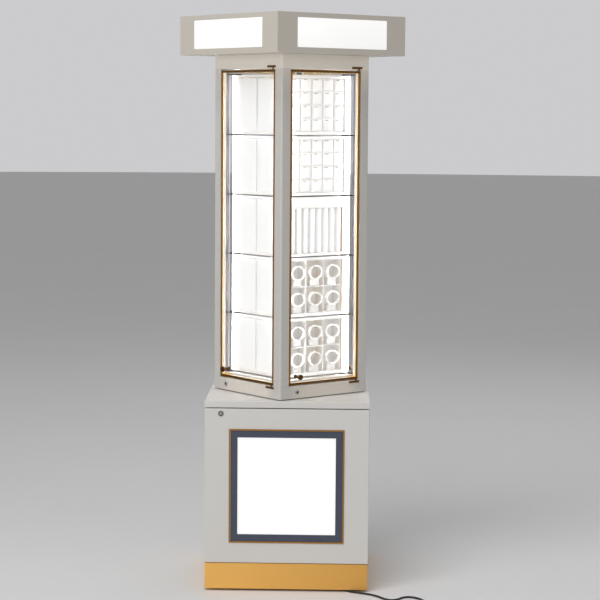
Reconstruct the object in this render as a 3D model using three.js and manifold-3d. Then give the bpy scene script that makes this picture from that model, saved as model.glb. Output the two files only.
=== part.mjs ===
// Revolving glass display cabinet: a painted base with a lit front panel, and a square glass tower that
// turns on it, driven by a ring gear, with five display blocks inside and a lit header on top.
// Millimetres, +Z up. The origin is on the floor, on the axis that the tower turns about; the front is -Y.

import * as THREE from 'three';
import { mergeVertices } from 'three/addons/utils/BufferGeometryUtils.js';
import Module from 'manifold-3d';

const wasm = await Module();
wasm.setup();

// Cabinet as a whole
const baseSide = 500;
const baseHeight = 585;
const towerSide = 342;
const towerHeight = 1042;
const towerTurn = THREE.MathUtils.degToRad(39.9);
const headerSide = 496;
const headerHeight = 120;
const turntableGap = 3;

// Fits shared by all pieces
const seat = 0.3;
const running = 0.08;
const overrun = 1;

// Base carcass
const plinthLift = 7;
const plinthHeight = 79;
const plinthInset = 1.5;
const plinthWall = 18;
const boardThickness = 18;
const slabThickness = 20;
const slabEdge = 1.2;
const slabHoleRadius = 26;
const legRadius = 18;
const legInset = 60;

// Base door
const doorThickness = 18;
const doorSideGap = 0.5;
const doorTopGap = 3;
const doorFootGap = 2;
const doorBackGap = 5;
const doorEdge = 1;
const doorPivotInset = 7;
const doorPivotDepth = 12;
const pivotRadius = 2.5;
const pivotLength = 9;

// Lit screen in the base door
const screenSideMargin = 74.5;
const screenEndMargin = 62;
const trimLip = 2;
const trimLipThickness = 1.5;
const trimWall = 2.2;
const litInset = 26;
const screenGlassThickness = 4;
const screenGlassInset = 0.5;
const lightPanelThickness = 6;
const lightBoxDepth = 22;
const lightBoxWall = 2;

// Cam lock of the base door
const baseLockInset = 50;
const baseLockDrop = 18;
const lockFlangeRadius = 8;
const lockFlangeThickness = 1.5;
const lockBarrelRadius = 6.3;
const lockPlugRadius = 4.7;
const lockBarrelReach = 12;
const lockCamLength = 36;
const lockCamWidth = 10;
const lockCamThickness = 2;
const strikeDepth = 8;
const strikeSlack = 2;

// Turntable
const bearingInnerRadius = 70;
const bearingOuterRadius = 92;
const bearingThickness = 4;
const beadRadius = 2.2;
const beadClearance = 0.8;
const hubFlangeThickness = 5.8;
const hubTubeRadius = 22;
const hubShoulderRadius = 24;
const hubBoreRadius = 15;
const hubTubeLength = 84;
const hubRecessSlack = 5;
const slipRingLength = 46;
const slipRingLipRadius = 19;
const slipRingLipThickness = 4;

// Ring gear, pinion and gearmotor under the slab
const gearModule = 2.5;
const ringTeeth = 48;
const pinionTeeth = 16;
const pressureAngle = THREE.MathUtils.degToRad(20);
const toothBacklash = 0.35;
const gearThickness = 10;
const gearDrop = 19;
const gearBossRadius = 32;
const gearBossLength = 8;
const pinionOverlap = 2;
const pinionBossRadius = 12;
const pinionBossLength = 5;
const pinionShaftRadius = 4;
const pinionShaftLength = 14;
const gearboxWidth = 64;
const gearboxLength = 92;
const gearboxHeight = 23;
const gearboxNose = 22;
const gearboxBossRadius = 10;
const gearboxBossLength = 7;
const motorRadius = 26;
const motorLength = 68;
const bracketWidth = 112;
const bracketLength = 48;
const bracketThickness = 3;
const bracketFlange = 20;

// Power supply, cord gland and power cord
const supplyLength = 160;
const supplyWidth = 98;
const supplyHeight = 42;
const supplyInset = 30;
const terminalLength = 18;
const terminalHeight = 20;
const glandSideMargin = 100;
const glandFrontMargin = 110;
const glandNeckRadius = 8;
const glandNutRadius = 12;
const glandNutThickness = 6;
const glandTaperRadius = 5;
const glandTaperLength = 24;
const cordRadius = 3;
const cordLift = 0.1;
const coilCentre = new THREE.Vector2(468, -452);
const coilPitch = 6.6;
const coilLayerRise = 6.6;
const coilTurns = 6;
const coilInwardTurns = 3;
const coilReverseTurns = 0.5;
const coilMiddleRadius = 33;
const coilTail = 42;
const plugWidth = 28;
const plugLength = 34;
const plugCorner = 5;
const plugNeckRadius = 7;
const plugNeckLength = 22;
const bladeGap = 12.7;
const bladeWidth = 6.4;
const bladeThickness = 1.6;
const bladeLength = 17;

// Tower frame
const postWidth = 33;
const postCorner = 6;
const postChamfer = 12;
const bottomRail = 38.5;
const topRail = 43;
const displayFloorThickness = 14.5;
const displayFloorSlack = 4.2;

// Corner rack: an extruded light profile with bracket arms at six levels
const profileWidth = 16;
const profileDepth = 6;
const profileLip = 2;
const armReach = 46;
const armWidth = 22;
const armThickness = 4;
const profileEndGap = 4;

// Display blocks
const blockGap = 8;
const blockLevels = 5;
const blockHeadroom = 9.4;
const blockBorder = 8.5;
const blockRecess = 7;
const cushionGap = 3;
const cushionMargin = 26;
const cushionEdge = 5.5;
const cushionCrown = 10;
const cellColumns = 5;
const cellRows = 4;
const padGap = 3;
const padHeight = 5;
const padDraft = 2;
const padMargin = 22;
const trayMargin = 27.6;
const rollCount = 8;
const rollGap = 1.5;
const rollBand = 34;
const rollRecess = 13;
const bayColumns = 3;
const bayRows = 2;
const bayWall = 3;
const bayDepth = 38;
const holderHalfWidth = 26.5;
const holderHalfHeight = 22.2;
const holderBoreHalfWidth = 21.4;
const holderBoreHalfHeight = 17.7;
const holderThickness = 12;
const holderProud = 7.4;
const holderRise = 2.5;
const holderFootWidth = 34;
const holderFootFront = 0.5;

// Tower doors
const leafLockGap = 2;
const leafHingeGap = 3;
const leafFootGap = 2.5;
const leafTopGap = 3.5;
const leafInset = 2;
const leafDepth = 12;
const leafBar = 7;
const glassThickness = 4;
const glassGrip = 2;
const leafPivotInset = 7;
const leafPinEngagement = 4;
const hingePlateLength = 41;
const hingePlateHeight = 5;
const hingePlateOffset = 3.2;
const hingePlateProud = 0.5;
const hingePlateOverhang = 6;
const pinNotchWidth = 7;
const knobInset = 32;
const knobRise = 25;
const knobRadius = 8.5;
const knobReach = 24;
const knobStemRadius = 5;
const knobScrewRadius = 2.5;
const knobCapRadius = 6;
const knobCapThickness = 2.5;

// Cam locks in the tower's bottom rail
const railLockInset = 33;
const railLockDrop = 22;
const railLockFlangeRadius = 7;
const railLockBarrelRadius = 5.5;
const tongueLength = 24.9;
const tongueWidth = 8;
const tongueThickness = 2.4;
const tongueSlack = 0.8;
const tongueSlotHeight = 4;
const tongueSlotWidth = 20;

// Header
const headerWall = 12;
const headerFloor = 12;
const headerLidThickness = 12;
const windowWidth = 347;
const windowHeight = 87.5;
const windowFoot = 17.5;
const diffuserThickness = 3;
const diffuserOverlap = 5;

// Facets of round forms
const roundSides = 28;
const smallSides = 12;
const cordSides = 8;
const coilSides = 6;
const coilStepsPerTurn = 24;
const holderSegments = 7;
const cushionSegments = 6;
const beadSegments = 4;

// Heights worked out from the sizes above
const plinthTop = plinthLift + plinthHeight;
const slabUnderside = baseHeight - slabThickness;
const carcassFront = -baseSide / 2 + doorThickness + doorBackGap;
const carcassBack = baseSide / 2 - boardThickness;
const carcassInside = baseSide / 2 - boardThickness;
const boardTop = plinthTop + seat + boardThickness;
const towerFoot = baseHeight + turntableGap;
const towerTop = towerFoot + towerHeight;
const openingFoot = towerFoot + bottomRail;
const openingTop = towerTop - topRail;
const displayFloorTop = openingFoot + seat + displayFloorThickness;
const headerFoot = towerTop + seat;
const headerTop = towerTop + headerHeight;
const leafFoot = openingFoot + leafFootGap;
const leafTop = openingTop - leafTopGap;

// Paints and finishes
const paint = new THREE.MeshStandardMaterial({ color: 0xc9c6bf, roughness: 0.45 });
const goldLaminate = new THREE.MeshStandardMaterial({ color: 0xc98f45, roughness: 0.35, metalness: 0.8 });
const darkGold = new THREE.MeshStandardMaterial({ color: 0x7a4a1c, roughness: 0.3, metalness: 0.9 });
const brightGold = new THREE.MeshStandardMaterial({ color: 0xd9a441, roughness: 0.2, metalness: 1 });
const steel = new THREE.MeshStandardMaterial({ color: 0xb4b6b8, roughness: 0.3, metalness: 1 });
const blackPlastic = new THREE.MeshStandardMaterial({ color: 0x17181a, roughness: 0.6 });
const slate = new THREE.MeshStandardMaterial({ color: 0x3a4350, roughness: 0.15 });
const litWhite = new THREE.MeshStandardMaterial({
  color: 0xffffff, emissive: 0xffffff, emissiveIntensity: 1, roughness: 0.5,
});
const displayWhite = new THREE.MeshStandardMaterial({ color: 0xf1eee8, roughness: 0.7 });
const floorBeige = new THREE.MeshStandardMaterial({ color: 0xd8c2a0, roughness: 0.6 });
const glass = new THREE.MeshStandardMaterial({
  color: 0xe8f0f0, roughness: 0.02, transparent: true, opacity: 0.25,
});

// Geometry helpers

// Upright box between two corners.
function block(x0, x1, y0, y1, z0, z1) {
  const geometry = new THREE.BoxGeometry(x1 - x0, y1 - y0, z1 - z0);
  return geometry.translate((x0 + x1) / 2, (y0 + y1) / 2, (z0 + z1) / 2);
}

// Closed outline of a rectangle, as a shape or as a hole, with corners rounded to a radius.
function rectangle(x0, x1, y0, y1, radius = 0, Kind = THREE.Shape) {
  const path = new Kind();
  if (radius === 0) {
    path.moveTo(x0, y0).lineTo(x1, y0).lineTo(x1, y1).lineTo(x0, y1).closePath();
    return path;
  }
  path.absarc(x1 - radius, y0 + radius, radius, -Math.PI / 2, 0, false);
  path.absarc(x1 - radius, y1 - radius, radius, 0, Math.PI / 2, false);
  path.absarc(x0 + radius, y1 - radius, radius, Math.PI / 2, Math.PI, false);
  path.absarc(x0 + radius, y0 + radius, radius, Math.PI, Math.PI * 3 / 2, false);
  path.closePath();
  return path;
}

// Shape in plan, raised from z0 to z1.
function raised(shape, z0, z1, curveSegments = 4) {
  const geometry = new THREE.ExtrudeGeometry(shape, { depth: z1 - z0, bevelEnabled: false, curveSegments });
  return geometry.translate(0, 0, z0);
}

// Shape in plan, raised from z0 to z1 with both edges bevelled.
function raisedBevelled(shape, z0, z1, bevel) {
  const geometry = new THREE.ExtrudeGeometry(shape, {
    depth: z1 - z0 - 2 * bevel, bevelSize: bevel, bevelThickness: bevel, bevelOffset: -bevel, bevelSegments: 1,
  });
  return geometry.translate(0, 0, z0 + bevel);
}

// Shape drawn as seen from the front (x to the right, y up), from the front plane y0 back to y1.
function facing(shape, y0, y1, curveSegments = 4) {
  const geometry = new THREE.ExtrudeGeometry(shape, { depth: y1 - y0, bevelEnabled: false, curveSegments });
  return geometry.rotateX(Math.PI / 2).translate(0, y1, 0);
}

// The same with bevelled edges.
function facingBevelled(shape, y0, y1, bevel) {
  return raisedBevelled(shape, -y1, -y0, bevel).rotateX(Math.PI / 2);
}

// Upright cylinder.
function upright(radius, x, y, z0, z1, sides = smallSides) {
  const geometry = new THREE.CylinderGeometry(radius, radius, z1 - z0, sides);
  return geometry.rotateX(Math.PI / 2).translate(x, y, (z0 + z1) / 2);
}

// Cylinder along Y.
function frontal(radius, x, z, y0, y1, sides = smallSides) {
  const geometry = new THREE.CylinderGeometry(radius, radius, y1 - y0, sides);
  return geometry.translate(x, (y0 + y1) / 2, z);
}

// Radius of a faceted bore whose flats just clear a turning pin.
function boreFor(radius, sides = smallSides) {
  return (radius + running) / Math.cos(Math.PI / sides);
}

// Turned body about Z from a closed or axis-to-axis profile of [radius, height] pairs.
function turned(profile, sides = roundSides) {
  const points = profile.map(([r, z]) => new THREE.Vector2(r, z));
  return new THREE.LatheGeometry(points, sides).rotateX(Math.PI / 2);
}

// Solid for joining and cutting.
function solidOf(geometry) {
  const bare = geometry.clone();
  bare.deleteAttribute('normal');
  bare.deleteAttribute('uv');
  const merged = mergeVertices(bare);
  return new wasm.Manifold(new wasm.Mesh({
    numProp: 3,
    vertProperties: new Float32Array(merged.attributes.position.array),
    triVerts: new Uint32Array(merged.index.array),
  }));
}

function geometryOf(solid) {
  const mesh = solid.getMesh();
  const geometry = new THREE.BufferGeometry();
  geometry.setAttribute('position', new THREE.BufferAttribute(mesh.vertProperties, 3));
  geometry.setIndex(new THREE.BufferAttribute(mesh.triVerts, 1));
  geometry.computeVertexNormals();
  return geometry;
}

// Base body joined with the added ones, less the cutters.
function formed(base, added = [], cutters = []) {
  let solid = solidOf(base);
  for (const piece of added) {
    solid = solid.add(solidOf(piece));
  }
  for (const piece of cutters) {
    solid = solid.subtract(solidOf(piece));
  }
  return geometryOf(solid);
}

function place(parent, name, geometry, material) {
  const mesh = new THREE.Mesh(geometry, material);
  mesh.name = name;
  parent.add(mesh);
  return mesh;
}

// A group turned by quarter turns about the axis, for the tower's faces and corners.
function quarter(parent, index) {
  const group = new THREE.Group();
  group.rotation.z = index * Math.PI / 2;
  parent.add(group);
  return group;
}

// Outline of an involute gear; the flank starts on the base circle where that lies above the root.
function gearShape(teeth, boreRadius) {
  const pitchRadius = teeth * gearModule / 2;
  const baseRadius = pitchRadius * Math.cos(pressureAngle);
  const tipRadius = pitchRadius + gearModule;
  const rootRadius = pitchRadius - 1.25 * gearModule;
  const involute = (r) => {
    const angle = Math.acos(Math.min(1, baseRadius / r));
    return Math.tan(angle) - angle;
  };
  const pitchHalfAngle = Math.PI / 2 / teeth - toothBacklash / 2 / pitchRadius;
  const halfAngle = (r) => pitchHalfAngle + involute(pitchRadius) - involute(Math.max(r, baseRadius));
  const radii = [rootRadius, baseRadius, pitchRadius, tipRadius].filter((r) => r >= rootRadius);
  const shape = new THREE.Shape();
  for (let tooth = 0; tooth < teeth; tooth += 1) {
    const middle = tooth * 2 * Math.PI / teeth;
    const rising = radii.map((r) => [r, middle - halfAngle(r)]);
    const falling = radii.map((r) => [r, middle + halfAngle(r)]).reverse();
    for (const [r, angle] of [...rising, ...falling]) {
      const x = r * Math.cos(angle);
      const y = r * Math.sin(angle);
      if (shape.curves.length === 0 && tooth === 0 && r === rootRadius && angle < middle) {
        shape.moveTo(x, y);
      } else {
        shape.lineTo(x, y);
      }
    }
  }
  shape.closePath();
  if (boreRadius > 0) {
    const bore = new THREE.Path();
    bore.absarc(0, 0, boreRadius, 0, 2 * Math.PI, true);
    shape.holes.push(bore);
  }
  return shape;
}

const cabinet = new THREE.Group();

// Plinth: a square ring with blind bores for the base door's lower pivot
const doorPivotX = baseSide / 2 - doorPivotInset;
const doorPivotY = -baseSide / 2 + doorPivotDepth;
const plinthHalf = baseSide / 2 - plinthInset;
const glandPlace = new THREE.Vector2(baseSide / 2 - glandSideMargin, -baseSide / 2 + glandFrontMargin);
const plinthShape = rectangle(-plinthHalf, plinthHalf, -plinthHalf, plinthHalf);
const plinthHoleHalf = plinthHalf - plinthWall;
plinthShape.holes.push(rectangle(
  -plinthHoleHalf, plinthHoleHalf, -plinthHoleHalf, plinthHoleHalf, 0, THREE.Path,
));
const pinBoreRadius = boreFor(pivotRadius);
place(cabinet, 'plinth', formed(
  raised(plinthShape, plinthLift, plinthTop),
  [],
  [upright(pinBoreRadius, doorPivotX, doorPivotY, plinthTop - pivotLength, plinthTop + overrun)],
), goldLaminate);

// Bottom board with its four levelling legs
const boardHalf = carcassInside - seat;
const legPlace = baseSide / 2 - legInset;
const legs = [];
for (const x of [-legPlace, legPlace]) {
  for (const y of [-legPlace, legPlace]) {
    legs.push(upright(legRadius, x, y, 0, plinthTop + boardThickness / 2));
  }
}
place(cabinet, 'bottom_board', formed(
  block(-boardHalf, boardHalf, carcassFront, carcassBack - seat, plinthTop + seat, boardTop),
  legs,
  [upright(glandNeckRadius + seat, glandPlace.x, glandPlace.y, plinthTop - overrun, boardTop + overrun)],
), paint);

// Side, back and slab
const sideFoot = plinthTop + seat;
const sideTop = slabUnderside - seat;
const baseLockX = -baseSide / 2 + baseLockInset;
const baseLockZ = slabUnderside - baseLockDrop;
const camBack = -baseSide / 2 + doorThickness + lockBarrelReach + lockCamThickness;
const camFront = camBack - lockCamThickness;
place(cabinet, 'side_left', formed(
  block(-baseSide / 2, -carcassInside, carcassFront, baseSide / 2, sideFoot, sideTop),
  [],
  [block(
    -carcassInside - strikeDepth, -carcassInside + overrun,
    camFront - strikeSlack, camBack + strikeSlack,
    baseLockZ - lockCamLength / 2 - strikeSlack, baseLockZ + lockCamWidth / 2 + strikeSlack,
  )],
), paint);
place(cabinet, 'side_right', block(
  carcassInside, baseSide / 2, carcassFront, baseSide / 2, sideFoot, sideTop,
), paint);
place(cabinet, 'back_panel', block(
  -boardHalf, boardHalf, carcassBack, baseSide / 2, sideFoot, sideTop,
), paint);
const slabShape = rectangle(-baseSide / 2, baseSide / 2, -baseSide / 2, baseSide / 2);
place(cabinet, 'top_slab', formed(
  raisedBevelled(slabShape, slabUnderside, baseHeight, slabEdge),
  [],
  [
    upright(slabHoleRadius, 0, 0, slabUnderside - overrun, baseHeight + overrun, roundSides),
    upright(pinBoreRadius, doorPivotX, doorPivotY, slabUnderside - overrun, slabUnderside + pivotLength),
  ],
), paint);

// Base door: an overlay panel on two pivot pins, with the screen's opening and the lock's hole
const doorFront = -baseSide / 2;
const doorBack = doorFront + doorThickness;
const doorHalf = baseSide / 2 - doorSideGap;
const doorFoot = plinthTop + doorFootGap;
const doorTop = slabUnderside - doorTopGap;
const screenHalfX = doorHalf - screenSideMargin;
const screenFoot = doorFoot + screenEndMargin;
const screenTop = doorTop - screenEndMargin;
const trimInset = trimLip + seat;
const trimInnerInset = trimInset + trimWall;
const doorShape = rectangle(-doorHalf, doorHalf, doorFoot, doorTop);

// Area of the screen, drawn in from its outer edge.
function screenArea(inset, kind = THREE.Shape) {
  return rectangle(
    -screenHalfX + inset, screenHalfX - inset, screenFoot + inset, screenTop - inset, 0, kind,
  );
}

// Ring around the screen between two insets, seen from the front.
function screenRing(outerInset, innerInset, y0, y1) {
  const shape = screenArea(outerInset);
  shape.holes.push(screenArea(innerInset, THREE.Path));
  return facing(shape, y0, y1);
}

// Plate of the screen's shape.
function screenPlate(inset, y0, y1) {
  return facing(screenArea(inset), y0, y1);
}

place(cabinet, 'base_door', formed(
  facingBevelled(doorShape, doorFront, doorBack, doorEdge),
  [
    upright(pivotRadius, doorPivotX, doorPivotY, doorTop - overrun, slabUnderside + pivotLength - running),
    upright(pivotRadius, doorPivotX, doorPivotY, plinthTop - pivotLength + running, doorFoot + overrun),
  ],
  [
    screenPlate(trimLip, doorFront - overrun, doorBack + overrun),
    frontal(lockBarrelRadius + seat, baseLockX, baseLockZ, doorFront - overrun, doorBack + overrun),
  ],
), paint);

const screenGlassEdge = trimInnerInset + seat;
const screenGlassFront = doorFront + screenGlassInset;
const screenGlassBack = screenGlassFront + screenGlassThickness;
const lightPanelFront = screenGlassBack + seat;
const lightPanelBack = lightPanelFront + lightPanelThickness;
const lightBoxFront = lightPanelBack + seat;
const lightBoxBack = lightBoxFront + lightBoxDepth;
place(cabinet, 'screen_trim', formed(
  screenRing(trimInset, trimInnerInset, doorFront - seat, doorBack),
  [screenRing(0, trimInnerInset, doorFront - trimLipThickness - seat, doorFront - seat)],
), brightGold);
place(cabinet, 'screen_border', screenRing(
  screenGlassEdge, litInset, screenGlassFront, screenGlassBack,
), slate);
place(cabinet, 'light_panel', screenPlate(screenGlassEdge, lightPanelFront, lightPanelBack), litWhite);
place(cabinet, 'light_box', formed(
  screenPlate(screenGlassEdge, lightBoxFront, lightBoxBack),
  [],
  [screenPlate(screenGlassEdge + lightBoxWall, lightBoxFront - overrun, lightBoxBack - lightBoxWall)],
), steel);

// Lock of the base door: a fixed barrel, and a plug whose cam turns into the side panel's strike
place(cabinet, 'base_lock_barrel', formed(
  frontal(lockFlangeRadius, baseLockX, baseLockZ, doorFront - lockFlangeThickness - seat, doorFront - seat),
  [frontal(lockBarrelRadius, baseLockX, baseLockZ, doorFront - overrun, camFront - seat)],
  [frontal(
    boreFor(lockPlugRadius), baseLockX, baseLockZ, doorFront - lockFlangeRadius, camBack + overrun,
  )],
), steel);
place(cabinet, 'base_lock_cam', formed(
  frontal(lockPlugRadius, baseLockX, baseLockZ, doorFront - lockFlangeThickness - seat, camBack),
  [block(
    baseLockX - lockCamWidth / 2, baseLockX + lockCamWidth / 2, camFront, camBack,
    baseLockZ - lockCamLength, baseLockZ + lockCamWidth / 2,
  )],
), steel);

// Turntable: a fixed bearing ring with a bead, and a hub whose groove rides on it
const bearingFoot = baseHeight + seat;
const bearingTop = bearingFoot + bearingThickness;
const beadPitch = (bearingInnerRadius + bearingOuterRadius) / 2;
const beadHeight = bearingTop + seat;
const grooveRadius = beadRadius + beadClearance;
const hubFlangeFoot = bearingTop + 2 * seat;
const hubFlangeTop = hubFlangeFoot + hubFlangeThickness;

// Points of a half circle over the bead's centre line, from the inner side to the outer.
function beadArc(radius, foot, segments) {
  const start = Math.asin((foot - beadHeight) / radius);
  const points = [];
  for (let i = 0; i <= segments; i += 1) {
    const angle = start + (Math.PI - 2 * start) * i / segments;
    points.push([beadPitch - radius * Math.cos(angle), beadHeight + radius * Math.sin(angle)]);
  }
  return points;
}

place(cabinet, 'bearing_ring', turned([
  [bearingInnerRadius, bearingFoot],
  [bearingOuterRadius, bearingFoot],
  [bearingOuterRadius, bearingTop],
  ...beadArc(beadRadius, bearingTop, beadSegments).reverse(),
  [bearingInnerRadius, bearingTop],
  [bearingInnerRadius, bearingFoot],
]), steel);

const tower = new THREE.Group();
tower.rotation.z = towerTurn;
cabinet.add(tower);

const hubTubeFoot = hubFlangeTop - hubTubeLength;
const gearTop = slabUnderside - gearDrop;
const gearFoot = gearTop - gearThickness;
place(tower, 'turntable_hub', turned([
  [hubBoreRadius, hubTubeFoot],
  [hubTubeRadius, hubTubeFoot],
  [hubTubeRadius, gearTop + seat],
  [hubShoulderRadius, gearTop + seat],
  [hubShoulderRadius, hubFlangeFoot],
  ...beadArc(grooveRadius, hubFlangeFoot, beadSegments),
  [bearingOuterRadius, hubFlangeFoot],
  [bearingOuterRadius, hubFlangeTop],
  [hubBoreRadius, hubFlangeTop],
  [hubBoreRadius, hubTubeFoot],
]), steel);
place(tower, 'slip_ring', turned([
  [0, hubTubeFoot - seat - slipRingLipThickness],
  [slipRingLipRadius, hubTubeFoot - seat - slipRingLipThickness],
  [slipRingLipRadius, hubTubeFoot - seat],
  [hubBoreRadius - seat, hubTubeFoot - seat],
  [hubBoreRadius - seat, hubTubeFoot + slipRingLength],
  [0, hubTubeFoot + slipRingLength],
], smallSides), blackPlastic);

// Ring gear, turned back by the tower's own turn so that a tooth faces the pinion
const ringGear = formed(
  raised(gearShape(ringTeeth, 0), gearFoot, gearTop),
  [upright(gearBossRadius, 0, 0, gearFoot - gearBossLength, gearFoot + overrun, roundSides)],
  [upright(hubTubeRadius + seat, 0, 0, gearFoot - gearBossLength - overrun, gearTop + overrun, roundSides)],
);
place(tower, 'ring_gear', ringGear, steel).rotation.z = -towerTurn;

// Pinion behind the ring gear, turned by half a tooth so that a gap meets the ring gear's tooth
const centreDistance = (ringTeeth + pinionTeeth) * gearModule / 2;
const pinionTop = gearTop + pinionOverlap;
const pinionFoot = gearFoot - pinionOverlap;
const pinion = place(cabinet, 'drive_pinion', formed(
  raised(gearShape(pinionTeeth, 0), pinionFoot, pinionTop),
  [
    upright(pinionBossRadius, 0, 0, pinionFoot - pinionBossLength, pinionFoot + overrun),
    upright(pinionShaftRadius, 0, 0, pinionFoot - pinionBossLength - pinionShaftLength, pinionFoot),
  ],
), steel);
pinion.position.y = centreDistance;
pinion.rotation.z = Math.PI / pinionTeeth;

const gearboxTop = pinionFoot - pinionBossLength - seat - gearboxBossLength;
const gearboxFoot = gearboxTop - gearboxHeight;
const gearboxFront = centreDistance - gearboxNose;
const gearboxBack = gearboxFront + gearboxLength;
const motorY = gearboxBack - gearboxWidth / 2;
place(cabinet, 'gearmotor', formed(
  block(-gearboxWidth / 2, gearboxWidth / 2, gearboxFront, gearboxBack, gearboxFoot, gearboxTop),
  [
    upright(gearboxBossRadius, 0, centreDistance, gearboxTop - overrun, gearboxTop + gearboxBossLength),
    upright(motorRadius, 0, motorY, gearboxFoot - motorLength, gearboxFoot + overrun, roundSides),
  ],
  [upright(
    boreFor(pinionShaftRadius), 0, centreDistance,
    gearboxTop + gearboxBossLength - pinionShaftLength - seat, gearboxTop + gearboxBossLength + overrun,
  )],
), steel);

// Bracket: a channel that hangs the gearbox from the slab
const bracketFoot = gearboxTop + seat;
const bracketTop = slabUnderside - seat;
const bracketHalf = bracketWidth / 2;
const bracketShape = new THREE.Shape();
bracketShape.moveTo(-bracketHalf, bracketFoot);
bracketShape.lineTo(bracketHalf, bracketFoot);
bracketShape.lineTo(bracketHalf, bracketTop - bracketThickness);
bracketShape.lineTo(bracketHalf + bracketFlange, bracketTop - bracketThickness);
bracketShape.lineTo(bracketHalf + bracketFlange, bracketTop);
bracketShape.lineTo(bracketHalf - bracketThickness, bracketTop);
bracketShape.lineTo(bracketHalf - bracketThickness, bracketFoot + bracketThickness);
bracketShape.lineTo(-bracketHalf + bracketThickness, bracketFoot + bracketThickness);
bracketShape.lineTo(-bracketHalf + bracketThickness, bracketTop);
bracketShape.lineTo(-bracketHalf - bracketFlange, bracketTop);
bracketShape.lineTo(-bracketHalf - bracketFlange, bracketTop - bracketThickness);
bracketShape.lineTo(-bracketHalf, bracketTop - bracketThickness);
bracketShape.closePath();
place(cabinet, 'motor_bracket', facing(bracketShape, gearboxBack - bracketLength, gearboxBack), steel);

// Power supply on the bottom board, with a lower terminal step at its front
const supplyX = -carcassInside + supplyInset;
const supplyBack = carcassBack - supplyInset;
const supplyFoot = boardTop + seat;
place(cabinet, 'power_supply', formed(
  block(
    supplyX, supplyX + supplyWidth, supplyBack - supplyLength, supplyBack,
    supplyFoot, supplyFoot + supplyHeight,
  ),
  [block(
    supplyX, supplyX + supplyWidth, supplyBack - supplyLength - terminalLength,
    supplyBack - supplyLength + overrun, supplyFoot, supplyFoot + terminalHeight,
  )],
), steel);

// Gland in the bottom board: nut above, neck through, tapered strain relief below
const glandTop = boardTop + seat + glandNutThickness;
const glandLip = plinthTop - glandNutThickness;
const glandFoot = glandLip - glandTaperLength;
const gland = place(cabinet, 'cord_gland', turned([
  [0, glandFoot],
  [glandTaperRadius, glandFoot],
  [glandNeckRadius, glandLip],
  [glandNutRadius, glandLip],
  [glandNutRadius, plinthTop],
  [glandNeckRadius, plinthTop],
  [glandNeckRadius, boardTop + seat],
  [glandNutRadius, boardTop + seat],
  [glandNutRadius, glandTop],
  [0, glandTop],
], smallSides), blackPlastic);
gland.position.set(glandPlace.x, glandPlace.y, 0);

// Coil of the cord's spare length: it spirals in on the floor, climbs where it reverses and spirals out
const cordZ = cordRadius + cordLift;
const coilOuterRadius = coilMiddleRadius + coilPitch * coilInwardTurns / 2;
const coilInnerRadius = coilMiddleRadius - coilPitch * coilInwardTurns / 2;

// Radius and height of the coil after some turns.
function coilPlace(turns) {
  if (turns <= coilInwardTurns) {
    return [coilOuterRadius - coilPitch * turns, cordZ];
  }
  const reversed = turns - coilInwardTurns;
  if (reversed < coilReverseTurns) {
    const share = reversed / coilReverseTurns;
    const climb = share * share * (3 - 2 * share);
    const dip = coilPitch * coilReverseTurns / 2 * (1 - Math.abs(2 * share - 1));
    return [coilInnerRadius - dip, cordZ + climb * coilLayerRise];
  }
  return [coilInnerRadius + coilPitch * (reversed - coilReverseTurns), cordZ + coilLayerRise];
}

class CoilPath extends THREE.Curve {
  getPoint(t, target = new THREE.Vector3()) {
    const lead = 2 * cordRadius;
    const wound = 2 * Math.PI * coilMiddleRadius * coilTurns;
    const along = t * (lead + wound + coilTail) - lead;
    if (along < 0) {
      return target.set(-coilOuterRadius, -along, cordZ);
    }
    if (along > wound) {
      const [radius, z] = coilPlace(coilTurns);
      return target.set(-radius, wound - along, z);
    }
    const turns = coilTurns * along / wound;
    const [radius, z] = coilPlace(turns);
    const angle = Math.PI + 2 * Math.PI * turns;
    return target.set(radius * Math.cos(angle), radius * Math.sin(angle), z);
  }
}

// Round section for a swept cord.
function cordSection(radius, sides) {
  const points = [];
  for (let i = 0; i < sides; i += 1) {
    const angle = 2 * Math.PI * i / sides;
    points.push(new THREE.Vector2(radius * Math.cos(angle), radius * Math.sin(angle)));
  }
  return new THREE.Shape(points);
}

const coilPath = new CoilPath();
const coilSteps = coilStepsPerTurn * (coilTurns + 1);
const coilGeometry = new THREE.ExtrudeGeometry(cordSection(cordRadius, coilSides), {
  extrudePath: coilPath, steps: coilSteps, bevelEnabled: false,
});
const coil = place(cabinet, 'cord_coil', coilGeometry, blackPlastic);
coil.position.set(coilCentre.x, coilCentre.y, 0);

// Least gap between turns of the coil, measured between points more than half a turn apart.
function leastCoilGap() {
  const points = coilPath.getSpacedPoints(coilSteps * 4);
  const skip = coilStepsPerTurn * 2;
  let least = Infinity;
  for (let i = 0; i < points.length; i += 1) {
    for (let j = i + skip; j < points.length; j += 1) {
      least = Math.min(least, points[i].distanceTo(points[j]));
    }
  }
  return least - 2 * cordRadius;
}
console.log(`least gap in the cord coil: ${leastCoilGap().toFixed(2)} mm`);

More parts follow.
